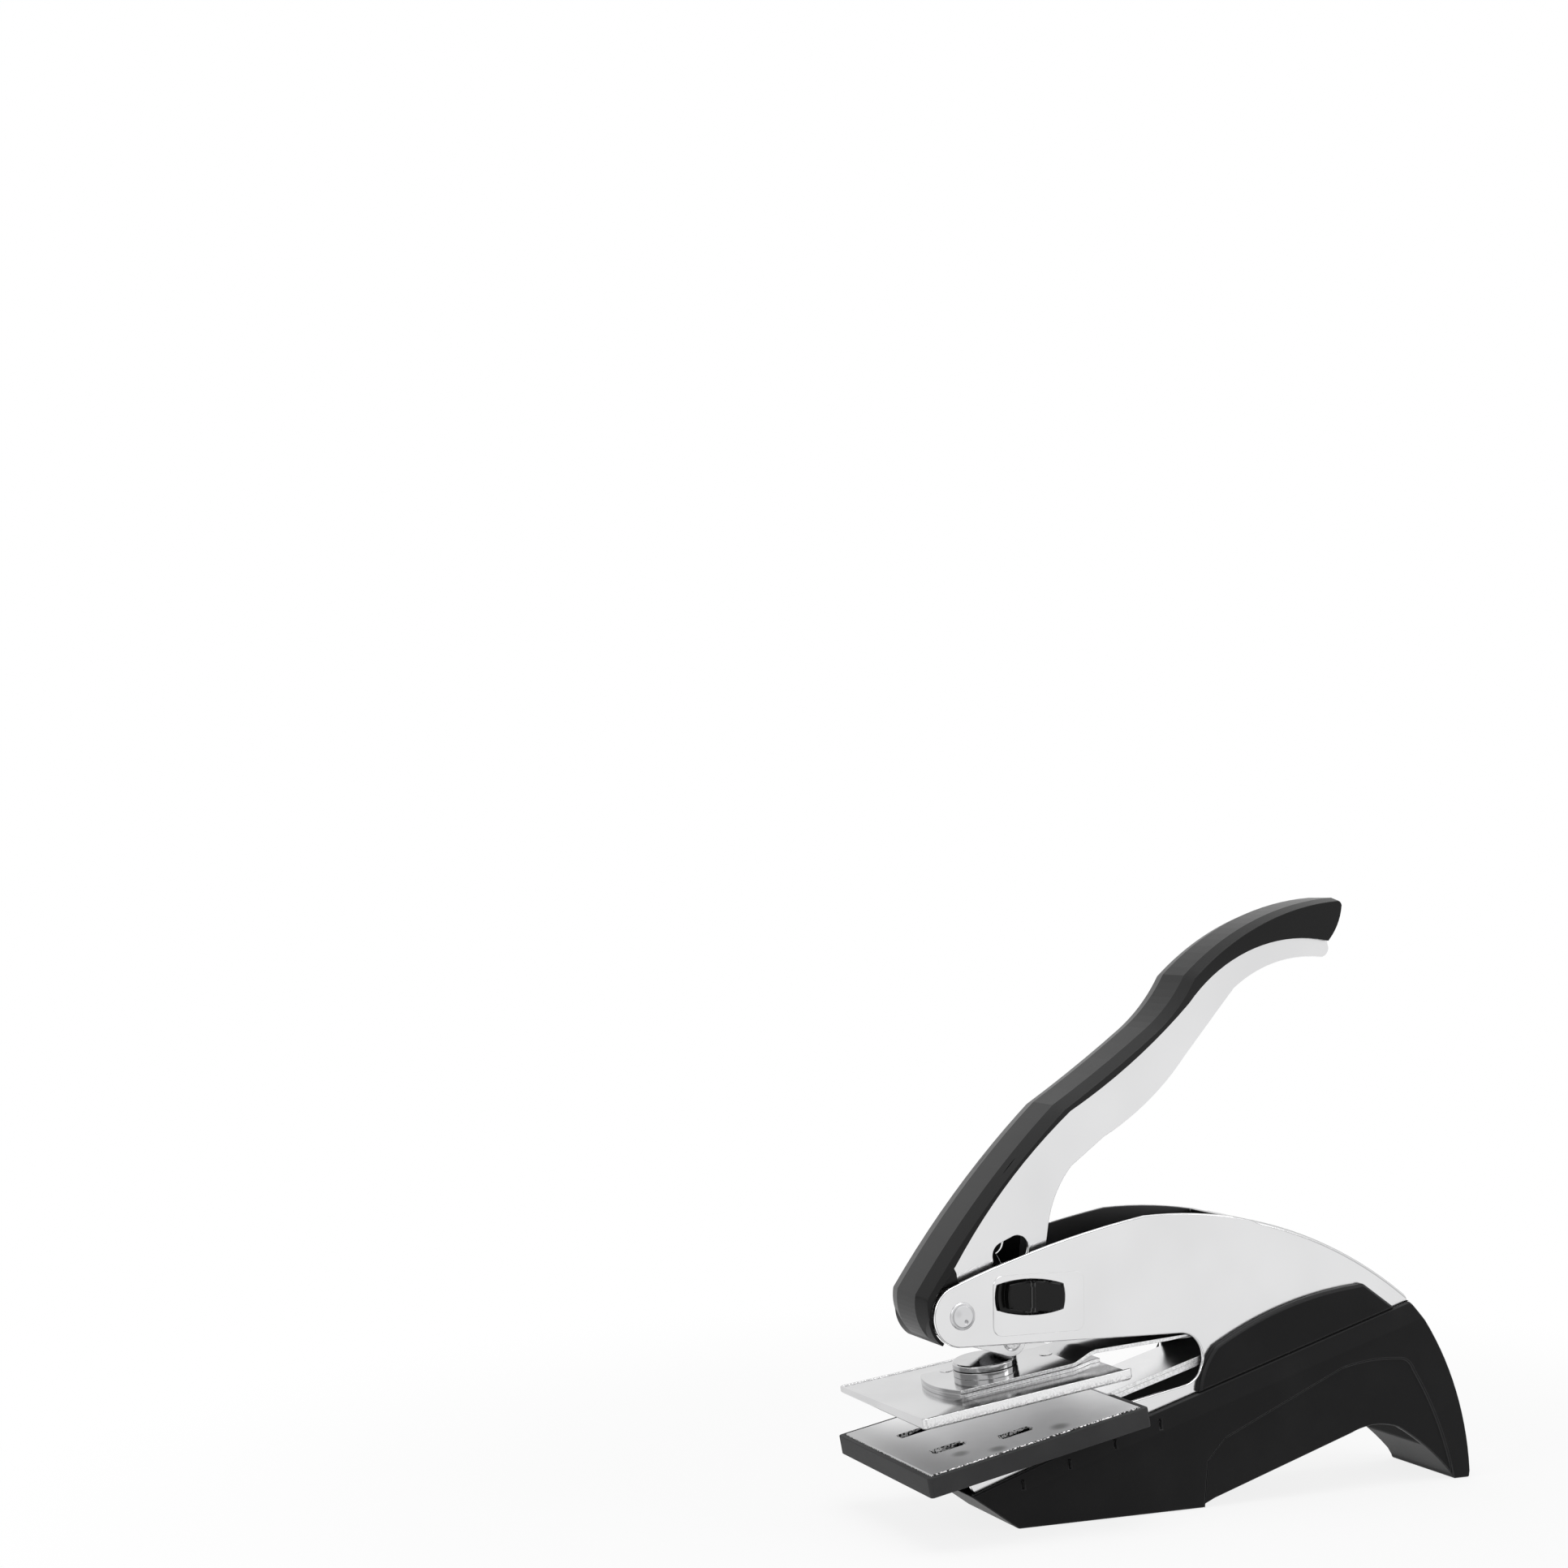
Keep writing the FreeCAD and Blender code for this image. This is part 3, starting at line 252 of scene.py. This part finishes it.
# Frame: polished sheet steel, two walls folded together over the back, where the
# fold is round. Its broken edges are painted bright as a painted highlight, with a
# painted dark line of shade beside them, and its inside is painted dark as painted shade.
def merged(node):
    """Copy of a solid as one closed mesh with whole faces, left in edit mode."""
    bpy.ops.object.select_all(action="DESELECT")
    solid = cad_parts[node]
    piece = bpy.data.objects.new(node + "_skin", solid.data.copy())
    bpy.context.scene.collection.objects.link(piece)
    piece.data.materials.clear()
    bpy.context.view_layer.objects.active = piece
    piece.select_set(True)
    bpy.ops.object.mode_set(mode="EDIT")
    bpy.ops.mesh.select_all(action="SELECT")
    bpy.ops.mesh.remove_doubles(threshold=0.01 * MM)
    bpy.ops.mesh.dissolve_limited(angle_limit=math.radians(0.5))
    return piece


def pick(piece, kind, wanted):
    """Selects the vertices or edges of a mesh in edit mode that pass a test."""
    bpy.ops.mesh.select_all(action="DESELECT")
    bpy.ops.mesh.select_mode(type=kind)
    form = bmesh.from_edit_mesh(piece.data)
    for part in form.verts if kind == "VERT" else form.edges:
        spots = [part.co] if kind == "VERT" else [v.co for v in part.verts]
        if all(wanted(spot) for spot in spots):
            part.select_set(True)
    form.select_flush_mode()
    bmesh.update_edit_mesh(piece.data)


def finished(piece, soft, steps=2, level=100):
    """Breaks sharp edges by so many mm and smooths the rest; the level keeps large faces flat."""
    if bpy.context.object.mode == "EDIT":
        bpy.ops.object.mode_set(mode="OBJECT")
    edge = piece.modifiers.new("edges", "BEVEL")
    edge.width = soft * MM
    edge.segments = steps
    edge.limit_method = "ANGLE"
    edge.angle_limit = math.radians(32)
    edge.use_clamp_overlap = False
    bpy.ops.object.modifier_apply(modifier="edges")
    bpy.ops.object.shade_smooth_by_angle(angle=math.radians(35), keep_sharp_edges=True)
    even = piece.modifiers.new("even", "WEIGHTED_NORMAL")
    even.keep_sharp = True
    even.weight = level
    bpy.ops.object.modifier_apply(modifier="even")
    bpy.ops.object.select_all(action="DESELECT")


def grey(value, cool=0.0):
    """Colour with a little more blue than red and green."""
    return (value, value, value + cool, 1)


WALL_SIDE, FOLD_FROM, FOLD_ROUND = 11.2 * MM, 13.5 * MM, 1.1 * MM
ARC_MIDDLE, ARC = Vector((-8.6, 0, -49.5)) * MM, 126.4 * MM
frame_skin = merged("frame_body")
pick(frame_skin, "EDGE", lambda p: p.x > FOLD_FROM and abs(abs(p.y) - WALL_SIDE) < 0.01 * MM
     and abs(math.hypot(p.x - ARC_MIDDLE.x, p.z - ARC_MIDDLE.z) - ARC) < 0.02 * MM)
bpy.ops.mesh.bevel(offset=FOLD_ROUND, segments=4, clamp_overlap=False)
finished(frame_skin, 0.4, 3)
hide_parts("frame_body")
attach(frame_skin, "base")
plated = Finish("plated_frame", Metallic=1.0)
spot = plated.place()
x, y, z = plated.axes(spot)
wave = plated.noise(spot, 38.0, 2.0)
grain = plated.noise(plated.place(scale=(0.02, 1, 0.0012)), 1.0)
from_middle = apart(x, z, (ARC_MIDDLE.x, ARC_MIDDLE.z))
over_back = from_middle.step(ARC - 0.6 * MM, ARC - 0.2 * MM) * x.step(12.0 * MM, 13.2 * MM)
# Painted shade: the inner faces of the walls are painted near black.
inside = (1 - abs(y).step(10.02 * MM, 10.18 * MM)) * (1 - over_back)
flat = plated.facing()
# Painted highlight on the broken edges, with a line of painted shade beside it.
edge_shade_line = (1 - flat.step(0.975, 0.998)) * flat.step(0.3, 0.5)
edge_highlight = (1 - flat.step(0.80, 0.90)) * (1 - over_back)
outer = plated.blend(wave.step(0.3, 0.7), grey(0.74, 0.005), grey(0.78, 0.005))
outer = plated.blend(edge_shade_line, outer, grey(0.50, 0.005))
outer = plated.blend(edge_highlight, outer, grey(0.98, 0.005))
plated.put(Base_Color=plated.blend(inside, outer, grey(0.12, 0.002)))
plated.put(Roughness=0.16 + 0.07 * wave + 0.04 * grain + 0.12 * inside)
plated.raise_by(wave * 0.25 + grain * 0.01, 0.12 * MM)
frame_skin.data.materials.append(plated.material)


# Panels round the windows: pressed up from the wall's own sheet, so each is a
# piece of the wall, a little proud of it, with rounded corners.
def cutter(low, high, corner=0.0, place=Matrix()):
    """Block between two corners in mm, rounded along Y, to cut other pieces with."""
    bpy.ops.mesh.primitive_cube_add(size=1)
    block = bpy.context.object
    bpy.ops.object.mode_set(mode="EDIT")
    bpy.ops.transform.resize(value=[(b - a) * MM for a, b in zip(low, high)])
    bpy.ops.transform.translate(value=[(a + b) / 2 * MM for a, b in zip(low, high)])
    if corner:
        bpy.ops.mesh.select_mode(type="EDGE")
        bpy.ops.mesh.select_all(action="DESELECT")
        form = bmesh.from_edit_mesh(block.data)
        for edge in form.edges:
            run = edge.verts[0].co - edge.verts[1].co
            edge.select_set(abs(run.x) + abs(run.z) < 0.001 * MM)
        bmesh.update_edit_mesh(block.data)
        bpy.ops.mesh.bevel(offset=corner * MM, segments=8)
    bpy.ops.object.mode_set(mode="OBJECT")
    bpy.ops.object.select_all(action="DESELECT")
    block.matrix_world = place
    bpy.context.view_layer.update()
    return block


def carve(piece, block, how):
    """Applies one cut or common of a piece with a block, which is then removed."""
    bpy.context.view_layer.objects.active = piece
    cut = piece.modifiers.new("cut", "BOOLEAN")
    cut.operation = how
    cut.solver = "EXACT"
    cut.object = block
    bpy.ops.object.modifier_apply(modifier="cut")
    bpy.data.objects.remove(block)


PANEL_FRONT, PANEL_BACK, PANEL_FOOT, PANEL_TOP = -59.9, -33.4, 48.3, 63.7
PANEL_CORNER, PANEL_RISE, PANEL_SKIN = 2.6, 0.24, (11.0, 11.3)
for name, side in (("panel_right", -1), ("panel_left", 1)):
    panel = merged("frame_body")
    bpy.ops.object.mode_set(mode="OBJECT")
    panel.name = name
    near, far = sorted(side * depth for depth in PANEL_SKIN)
    window = cutter((PANEL_FRONT, near, PANEL_FOOT), (PANEL_BACK, far, PANEL_TOP), PANEL_CORNER)
    carve(panel, window, "INTERSECT")
    panel.select_set(True)
    bpy.ops.object.mode_set(mode="EDIT")
    bpy.ops.mesh.select_all(action="SELECT")
    bpy.ops.transform.translate(value=(0, side * PANEL_RISE * MM, 0))
    finished(panel, 0.12)
    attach(panel, "base")
    panel.data.materials.append(plated.material)


# Lever: the same plated sheet, folded to a channel with its mouth downwards. The
# channel's inside is painted dark low down as painted shade and lighter towards the
# tail, and its broken edges are painted bright as a painted highlight.
def dress(node, body, soft):
    """Copy of a solid with its edges broken by so many mm, which stands for it."""
    piece = merged(node)
    finished(piece, soft)
    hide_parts(node)
    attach(piece, body)
    return piece


lever_skin = dress("lever_channel", "lever", 0.22)
folded = Finish("plated_lever", Metallic=1.0)
spot = folded.place()
wave = folded.noise(spot, 30.0, 2.0)
grain = folded.noise(folded.place(turn=(0, math.radians(-50), 0), scale=(0.05, 1, 0.0015)), 1.0)
_, across, height = folded.axes(spot)
within = 1 - abs(across).step(6.42 * MM, 6.58 * MM)
outer = folded.blend(wave.step(0.3, 0.7), grey(0.73, 0.005), grey(0.78, 0.005))
# Painted highlight: the broken edges are painted near white.
outer = folded.blend(1 - folded.facing().step(0.9, 0.985), outer, grey(0.95, 0.005))
# Painted shade inside the channel, darkest low down.
channel_shade = folded.blend(height.step(78 * MM, 95 * MM), grey(0.05, 0.002), grey(0.55, 0.005))
folded.put(Base_Color=folded.blend(within, outer, channel_shade))
folded.put(Roughness=0.18 + 0.07 * wave + 0.05 * grain)
folded.raise_by(wave * 0.8 + grain * 0.03, 0.1 * MM)
lever_skin.data.materials.append(folded.material)

# Rivet through the nose: steel, upset to a flat head that keeps a turned ring and
# a small dimple, both painted darker as painted shade in their hollows, with a faint
# stain beside it.
PIVOT = Vector((-68.7, 0, 54.2))
pivot_skin = dress("pivot_rivet", "base", 0.12)
upset = Finish("upset_rivet", Metallic=1.0)
across, _, height = upset.axes(upset.place(shift=PIVOT * MM))
ring = apart(across, height).near(2.9 * MM, 0.08 * MM, 0.3 * MM)
dimple = apart(across, height, (0.8 * MM, -1.4 * MM)).near(0, 0.2 * MM, 0.7 * MM)
dark_spot = apart(across, height, (-1.4 * MM, 0.7 * MM)).near(0, 0.2 * MM, 1.3 * MM)
wear = upset.noise(upset.place(), 420.0, 4.0)
# Painted shade in the ring and the dimple, and the stain.
shade_and_stain = (dimple * 0.7).most(ring * 0.35).most(dark_spot * 0.22)
upset.put(Base_Color=upset.blend(shade_and_stain, grey(0.68, 0.01), grey(0.28, 0.01)))
upset.put(Roughness=0.24 + 0.18 * wear)
upset.raise_by(0.4 * wear - ring * 1.2 - dimple * 1.5, 0.1 * MM)
pivot_skin.data.materials.append(upset.material)

# Shoe: black moulded base with a long toe, an arch and a heel. Its band has four
# fine notches on either side, and its upper edge is planed down towards the toe.
TOE_X, TOE_Z, TOP_SLOPE = -68.4, 9.8, 39.4 / 136.9
TICKS, TICK_FROM, TICK_PITCH, TICK_DROP = 4, -52.7, 13.6, 3.4
TICK_WIDE, TICK_HIGH, TICK_SKIN = 0.4, 2.2, (13.0, 14.5)
SCARF_DEEP, SCARF_RUN, BEYOND, SHOE_SIDE = 1.2, 39.0, 4.0, 16.0
shoe_skin = merged("base_shoe")
bpy.ops.object.mode_set(mode="OBJECT")
for number in range(TICKS):
    tick_x = TICK_FROM + TICK_PITCH * number
    tick_z = TOE_Z + (tick_x - TOE_X) * TOP_SLOPE - TICK_DROP
    for side in (-1, 1):
        near, far = sorted(side * depth for depth in TICK_SKIN)
        tick = cutter((tick_x - TICK_WIDE / 2, near, tick_z - TICK_HIGH / 2),
                      (tick_x + TICK_WIDE / 2, far, tick_z + TICK_HIGH / 2))
        carve(shoe_skin, tick, "DIFFERENCE")
toe_edge = Matrix.Translation(Vector((TOE_X, 0, TOE_Z - SCARF_DEEP)) * MM)
scarf_turn = Matrix.Rotation(-math.atan(TOP_SLOPE + SCARF_DEEP / SCARF_RUN), 4, "Y")
scarf = cutter((-BEYOND, -SHOE_SIDE, 0), (SCARF_RUN, SHOE_SIDE, BEYOND), place=toe_edge @ scarf_turn)
carve(shoe_skin, scarf, "DIFFERENCE")
shoe_skin.select_set(True)
finished(shoe_skin, 0.5, 3)
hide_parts("base_shoe")
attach(shoe_skin, "base")


def moulding(name, rough, grain_scale, depth, shine):
    """Moulded plastic without its colour: a fine skin with a few duller patches."""
    skin = Finish(name, IOR=1.5, Specular_IOR_Level=shine)
    fine = skin.noise(skin.place(), grain_scale, 2.0)
    skin.patch = skin.noise(skin.place(), 60.0)
    skin.put(Roughness=rough + 0.08 * skin.patch + 0.06 * fine)
    skin.raise_by(fine, depth * MM)
    return skin


def moulded(name, dark, light, rough, rim_highlight_share=0.8):
    """Dull moulding, lighter in its patches, with a painted highlight on its rounded edges."""
    skin = moulding(name, rough, 2600.0, 0.02, 0.14)
    side_on = skin.facing()
    # Painted highlight: rounded edges that face partly sideways are painted lighter.
    rim_highlight = side_on.step(0.25, 0.5) * (1 - side_on.step(0.90, 0.985)) * rim_highlight_share
    tone = skin.blend(skin.patch.step(0.35, 0.7), dark, light)
    skin.put(Base_Color=skin.blend(rim_highlight, tone, grey(0.045, 0.001)))
    return skin


SHOE_BLACK = (grey(0.005, 0.0003), grey(0.008, 0.0003))
shoe_finish = moulded("shoe_black", *SHOE_BLACK, 0.36)
shoe_skin.data.materials.append(shoe_finish.material)

# Covers over the frame's shoulders: shallow mouldings of the same black, clipped
# on above the shoe, a little smoother than it and with a fainter painted highlight on its edges.
cover_finish = moulded("cover_black", *SHOE_BLACK, 0.32, rim_highlight_share=0.4)
for name in ("side_cover_right", "side_cover_left"):
    cover_skin = dress(name, "base", 0.25)
    cover_skin.data.materials.append(cover_finish.material)

# Tray: dark grey moulding that holds the lower die plate by its rim, with a
# duller and lighter skin than the shoe's.
tray_skin = dress("lower_tray", "base", 0.25)
tray_finish = moulded("tray_grey", grey(0.036, 0.001), grey(0.046, 0.001), 0.45)
tray_skin.data.materials.append(tray_finish.material)

# Lower die plate: ground steel with a satin face, bright sheared edges and four
# lanced slots with torn walls. It is painted darker at its front as painted shade, and
# its three dark spots are painted reflections.
LOWER_CORNER, LOWER_TILT = Vector((-84.9, 0, 18.9)), 11.2
SLOT_PLACES = ((12.7, 9.7), (12.7, -9.7), (29.6, 14.9), (29.6, -14.9))
SLOT_LONG, SLOT_WIDE, SLOT_DEEP, SLOT_ABOVE = 8.8, 3.6, 0.8, 1.5
lower_skin = merged("lower_die_plate")
bpy.ops.object.mode_set(mode="OBJECT")
lower_turn = Matrix.Rotation(-math.radians(LOWER_TILT), 4, "Y")
for along, across in SLOT_PLACES:
    pocket = cutter((along - SLOT_LONG / 2, across - SLOT_WIDE / 2, -SLOT_DEEP),
                    (along + SLOT_LONG / 2, across + SLOT_WIDE / 2, SLOT_ABOVE),
                    place=Matrix.Translation(LOWER_CORNER * MM) @ lower_turn)
    carve(lower_skin, pocket, "DIFFERENCE")
lower_skin.select_set(True)
finished(lower_skin, 0.1)
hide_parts("lower_die_plate")
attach(lower_skin, "base")


def dark_patches(along, near_side):
    """Patches in the dished plate's colour that stand for what it mirrors on its near
    side: a bar across it, a long patch behind the bar and a wedge before it."""
    bar = along.near(17.2 * MM, 1.0 * MM, 3.2 * MM) * near_side.step(11.2 * MM, 12.5 * MM)
    fading = 0.78 - 0.4 * along.step(24 * MM, 56 * MM)
    behind = along.step(17 * MM, 20 * MM) * near_side.step(12.0 * MM, 13.5 * MM) * fading
    slant = near_side - 11.5 * MM - (17 * MM - along) * 0.75
    before = (1 - along.step(15 * MM, 18 * MM)) * slant.step(0.0, 3.5 * MM) * 0.85
    return bar.most(behind).most(before)


def ground(name, corner, tilt, dark, light, rough, slots=False, mirrored_spots=(), dished=False, seam=None):
    """Steel with fine lines along the plate, clouds in its shine, torn edges, and painted reflections and
    shade where asked.
    """
    skin = Finish(name, Metallic=1.0)
    turn = (0, -math.radians(tilt), 0)
    spot = skin.place(shift=corner * MM, turn=turn)
    along, across, height = skin.axes(spot)
    lines = skin.noise(skin.place(turn=turn, scale=(0.03, 0.00025, 0.03)), 1.0)
    cloud = skin.noise(spot, 45.0)
    crumbs = skin.noise(spot, 1700.0, 2.0).step(0.42, 0.58)
    torn = 1 - (1 - skin.facing()).step(0.3, 0.65)
    face = skin.blend(cloud.step(0.3, 0.72), dark, light)
    # Painted reflections: soft dark spots in the colour.
    for place, beside, size in mirrored_spots:
        dark_spot = apart(along, across, (place * MM, beside * MM)).near(0, size * 0.2 * MM, size * MM)
        face = skin.blend(dark_spot * 0.6, face, grey(0.12))
    if dished:
        # Painted reflection of what the dished plate mirrors on its near side.
        mirrored_dark = dark_patches(along, 0 - across) * (0.6 + 0.75 * cloud)
        face = skin.blend(mirrored_dark.least(1.0), face, grey(0.035, 0.001))
    if slots:
        torn = torn.most((0 - height).step(0.2 * MM, 0.5 * MM))
        # Painted shade: the slotted plate is painted darker towards its front.
        face = skin.blend((1 - along.step(2 * MM, 17 * MM)) * 0.6, face, grey(0.30, 0.003))
        broken = skin.blend(crumbs, grey(0.03), grey(0.98))
    else:
        # On the dished plate the torn walls are darker towards the bottom.
        edge_darkening = (0 - height).step(1.0 * MM, 2.2 * MM) if dished else 0.4 + 0.3 * cloud
        broken = skin.blend((1 - crumbs) * edge_darkening, grey(0.84, 0.005), grey(0.58, 0.005))
    if seam is not None:
        broken = skin.blend(height.near(seam * MM, 0.06 * MM, 0.16 * MM), broken, grey(0.04))
    skin.put(Base_Color=skin.blend(torn, face, broken))
    skin.put(Roughness=rough + 0.06 * cloud + 0.05 * lines + 0.16 * torn)
    relief = torn * crumbs * (1.0 if slots else 0.35)
    skin.raise_by(lines * 0.02 + cloud * 0.03 + relief, 0.1 * MM)
    return skin


# Dark spots painted as reflections on the lower plate: along, across and size in mm.
MIRRORED_SPOTS = ((12.5, -17.2, 3.0), (39.4, -20.8, 3.4), (20.5, -22.4, 3.2))
lower_finish = ground("ground_lower", LOWER_CORNER, LOWER_TILT, grey(0.82, 0.005), grey(0.92, 0.005), 0.38,
                      slots=True, mirrored_spots=MIRRORED_SPOTS)
lower_skin.data.materials.append(lower_finish.material)

# Lower arm: a spring strip folded back over itself and the stiff plate under it,
# both bright rolled steel, held in the frame's throat.
ARM_CORNER, ARM_TILT = Vector((-25.0, 0, 31.0)), 15.3
arm_finish = ground("rolled_arm", ARM_CORNER, ARM_TILT, grey(0.78, 0.005), grey(0.88, 0.005), 0.16)
for name in ("lower_arm_plate", "spring_strip"):
    arm_skin = dress(name, "base", 0.12)
    arm_skin.data.materials.append(arm_finish.material)

# Upper jaw: a square dished plate, riveted under two polished strips that lie on
# each other with a dark seam. The plate's far rim lies lower than the near one.
JAW_CORNER, JAW_TILT = Vector((-87.0, 0, 32.5)), 7.7
RIM_FROM, RIM_FOOT, RIM_DROP = 23.5 * MM, -1.0 * MM, 0.95 * MM
upper_skin = merged("upper_die_plate")
jaw_turn = Matrix.Rotation(-math.radians(JAW_TILT), 3, "Y")
pick(upper_skin, "VERT", lambda p: p.y > RIM_FROM
     and (jaw_turn.transposed() @ (p - JAW_CORNER * MM)).z > RIM_FOOT)
bpy.ops.transform.translate(value=jaw_turn @ Vector((0, 0, -RIM_DROP)))
finished(upper_skin, 0.15)
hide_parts("upper_die_plate")
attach(upper_skin, "jaw")
# The dished plate carries painted reflections on its near side.
upper_finish = ground("ground_upper", JAW_CORNER, JAW_TILT, grey(0.60, 0.005), grey(0.66, 0.005), 0.09,
                      dished=True)
upper_skin.data.materials.append(upper_finish.material)
strip_finish = ground("rolled_strip", JAW_CORNER, JAW_TILT, grey(0.58, 0.005), grey(0.64, 0.005), 0.07,
                      seam=-0.2)
for name in ("backing_plate", "upper_strip"):
    strip_skin = dress(name, "jaw", 0.12)
    strip_skin.data.materials.append(strip_finish.material)
rivet_skin = dress("jaw_rivets", "jaw", 0.1)
rivet_skin.data.materials.append(strip_finish.material)

# Puck: two turned steel discs on the upper strip, which the roller bears on. The
# tool left fine rings on them, and a dark joint shows between them.
PUCK_ALONG, PUCK_JOINT = 31.1 * MM, 2.6 * MM
RING_WAVE = 9000.0  # radians a metre
puck_finish = Finish("turned_puck", Metallic=1.0)
spot = puck_finish.place(shift=JAW_CORNER * MM, turn=(0, -math.radians(JAW_TILT), 0))
along, across, height = puck_finish.axes(spot)
turns = apart(along, across, (PUCK_ALONG, 0)) * RING_WAVE
rings = turns.math("SINE", turns)
wear = puck_finish.noise(spot, 260.0)
joint = height.near(PUCK_JOINT, 0.13 * MM, 0.26 * MM)
tone = puck_finish.blend(wear, grey(0.50, 0.005), grey(0.58, 0.005))
puck_finish.put(Base_Color=puck_finish.blend(joint, tone, grey(0.02)))
puck_finish.put(Roughness=0.07 + 0.05 * wear)
puck_finish.raise_by(rings * 0.08 + wear * 0.02, 0.02 * MM)
for name in ("puck_base", "puck_cap"):
    puck_skin = dress(name, "jaw", 0.15)
    puck_skin.data.materials.append(puck_finish.material)

# Grip: dark moulded cap pushed over the lever, glossier than the shoe, with a
# crowned back between two sharp lines. The thin tip of its hood is cut off.
CROWN_SIDE, TIP_LOW, TIP_HIGH = 5.3 * MM, Vector((-5.6, -12, -12)), Vector((2, 12, -4.5))
grip_skin = merged("grip")
bpy.ops.mesh.remove_doubles(threshold=0.08 * MM)
pick(grip_skin, "EDGE", lambda p: abs(abs(p.y) - CROWN_SIDE) < 0.01 * MM)
bpy.ops.mesh.mark_sharp()
bpy.ops.object.mode_set(mode="OBJECT")
carve(grip_skin, cutter(PIVOT + TIP_LOW, PIVOT + TIP_HIGH), "DIFFERENCE")
grip_skin.select_set(True)
finished(grip_skin, 0.15, 2, 60)
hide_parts("grip")
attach(grip_skin, "lever")
grip_black = grey(0.007, 0.0002)
grip_finish = moulding("grip_dark", 0.26, 2200.0, 0.02, 0.2)
height = grip_finish.axes(grip_finish.place())[2]
# Painted light and shade: the crown is painted lighter than the flanks, and the flanks a little lighter at
# the bend. The crown is also darker towards the top.
lit_crown = grip_finish.blend(height.step(75 * MM, 125 * MM), grey(0.021, 0.0005), grip_black)
bend = height.step(85 * MM, 120 * MM) * (1 - height.step(135 * MM, 150 * MM))
shaded_flank = grip_finish.blend(bend, grip_black, grey(0.014, 0.0003))
grip_finish.put(Base_Color=grip_finish.blend(grip_finish.facing().step(0.06, 0.2), lit_crown, shaded_flank))
grip_skin.data.materials.append(grip_finish.material)

# Collar inside the hood of the grip: a band in the covers' black that closes the
# hood round the frame's nose, swept about the lever's pivot.
COLLAR_FROM, COLLAR_SWEEP = math.radians(236), math.radians(-94)
COLLAR_RADIUS, COLLAR_THICK, COLLAR_WIDE = 8.55 * MM, 0.86 * MM, 20.2 * MM
start = PIVOT * MM + Vector((math.cos(COLLAR_FROM), 0, math.sin(COLLAR_FROM))) * COLLAR_RADIUS
bpy.ops.mesh.primitive_plane_add(size=1, location=start, rotation=(0, -COLLAR_FROM, 0))
collar = bpy.context.object
collar.name = "hood_collar"
collar.scale = (COLLAR_THICK, COLLAR_WIDE, 1)
bpy.ops.object.transform_apply(location=True, rotation=True, scale=True)
bpy.ops.object.mode_set(mode="EDIT")
bpy.ops.mesh.select_all(action="SELECT")
bpy.ops.mesh.delete(type="ONLY_FACE")
bpy.ops.mesh.select_all(action="SELECT")
bpy.ops.mesh.spin(steps=40, angle=COLLAR_SWEEP, center=PIVOT * MM, axis=(0, 1, 0))
bpy.ops.mesh.select_all(action="SELECT")
bpy.ops.mesh.remove_doubles(threshold=0.001 * MM)
bpy.ops.mesh.fill_holes(sides=0)
bpy.ops.mesh.normals_make_consistent(inside=False)
finished(collar, 0.2)
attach(collar, "lever")
collar.data.materials.append(cover_finish.material)

# Roller, its axle and the lock bar: all steel, held between the walls of lever and
# frame. The axle is bright, and the roller and the bar are hardened and blued dark.
dark_finish = ground("hardened", Vector(), 0.0, grey(0.10, 0.005), grey(0.16, 0.005), 0.22)
axle_skin = dress("roller_axle", "lever", 0.12)
axle_skin.data.materials.append(strip_finish.material)
roller_skin = dress("roller", "roller", 0.2)
roller_skin.data.materials.append(dark_finish.material)
bar_skin = dress("lock_bar", "lock", 0.15)
bar_skin.data.materials.append(dark_finish.material)

# Lock buttons: glossy black mouldings pushed on the ends of the lock bar, with a
# thumb rib across the middle, whose two sides carry a painted highlight.
BUTTON_MIDDLE, RIB_SIDE = Vector((-48.8, 0, 57.5)) * MM, 0.55 * MM
lock_finish = moulding("lock_gloss", 0.10, 1800.0, 0.005, 0.2)
from_rib = abs(lock_finish.axes(lock_finish.place(shift=BUTTON_MIDDLE))[0])
rib_highlight = from_rib.near(RIB_SIDE, 0.06 * MM, 0.18 * MM)
lock_finish.put(Base_Color=lock_finish.blend(rib_highlight, grey(0.005), grey(0.10)))
for name in ("lock_button_right", "lock_button_left"):
    button_skin = dress(name, "lock", 0.12)
    button_skin.data.materials.append(lock_finish.material)
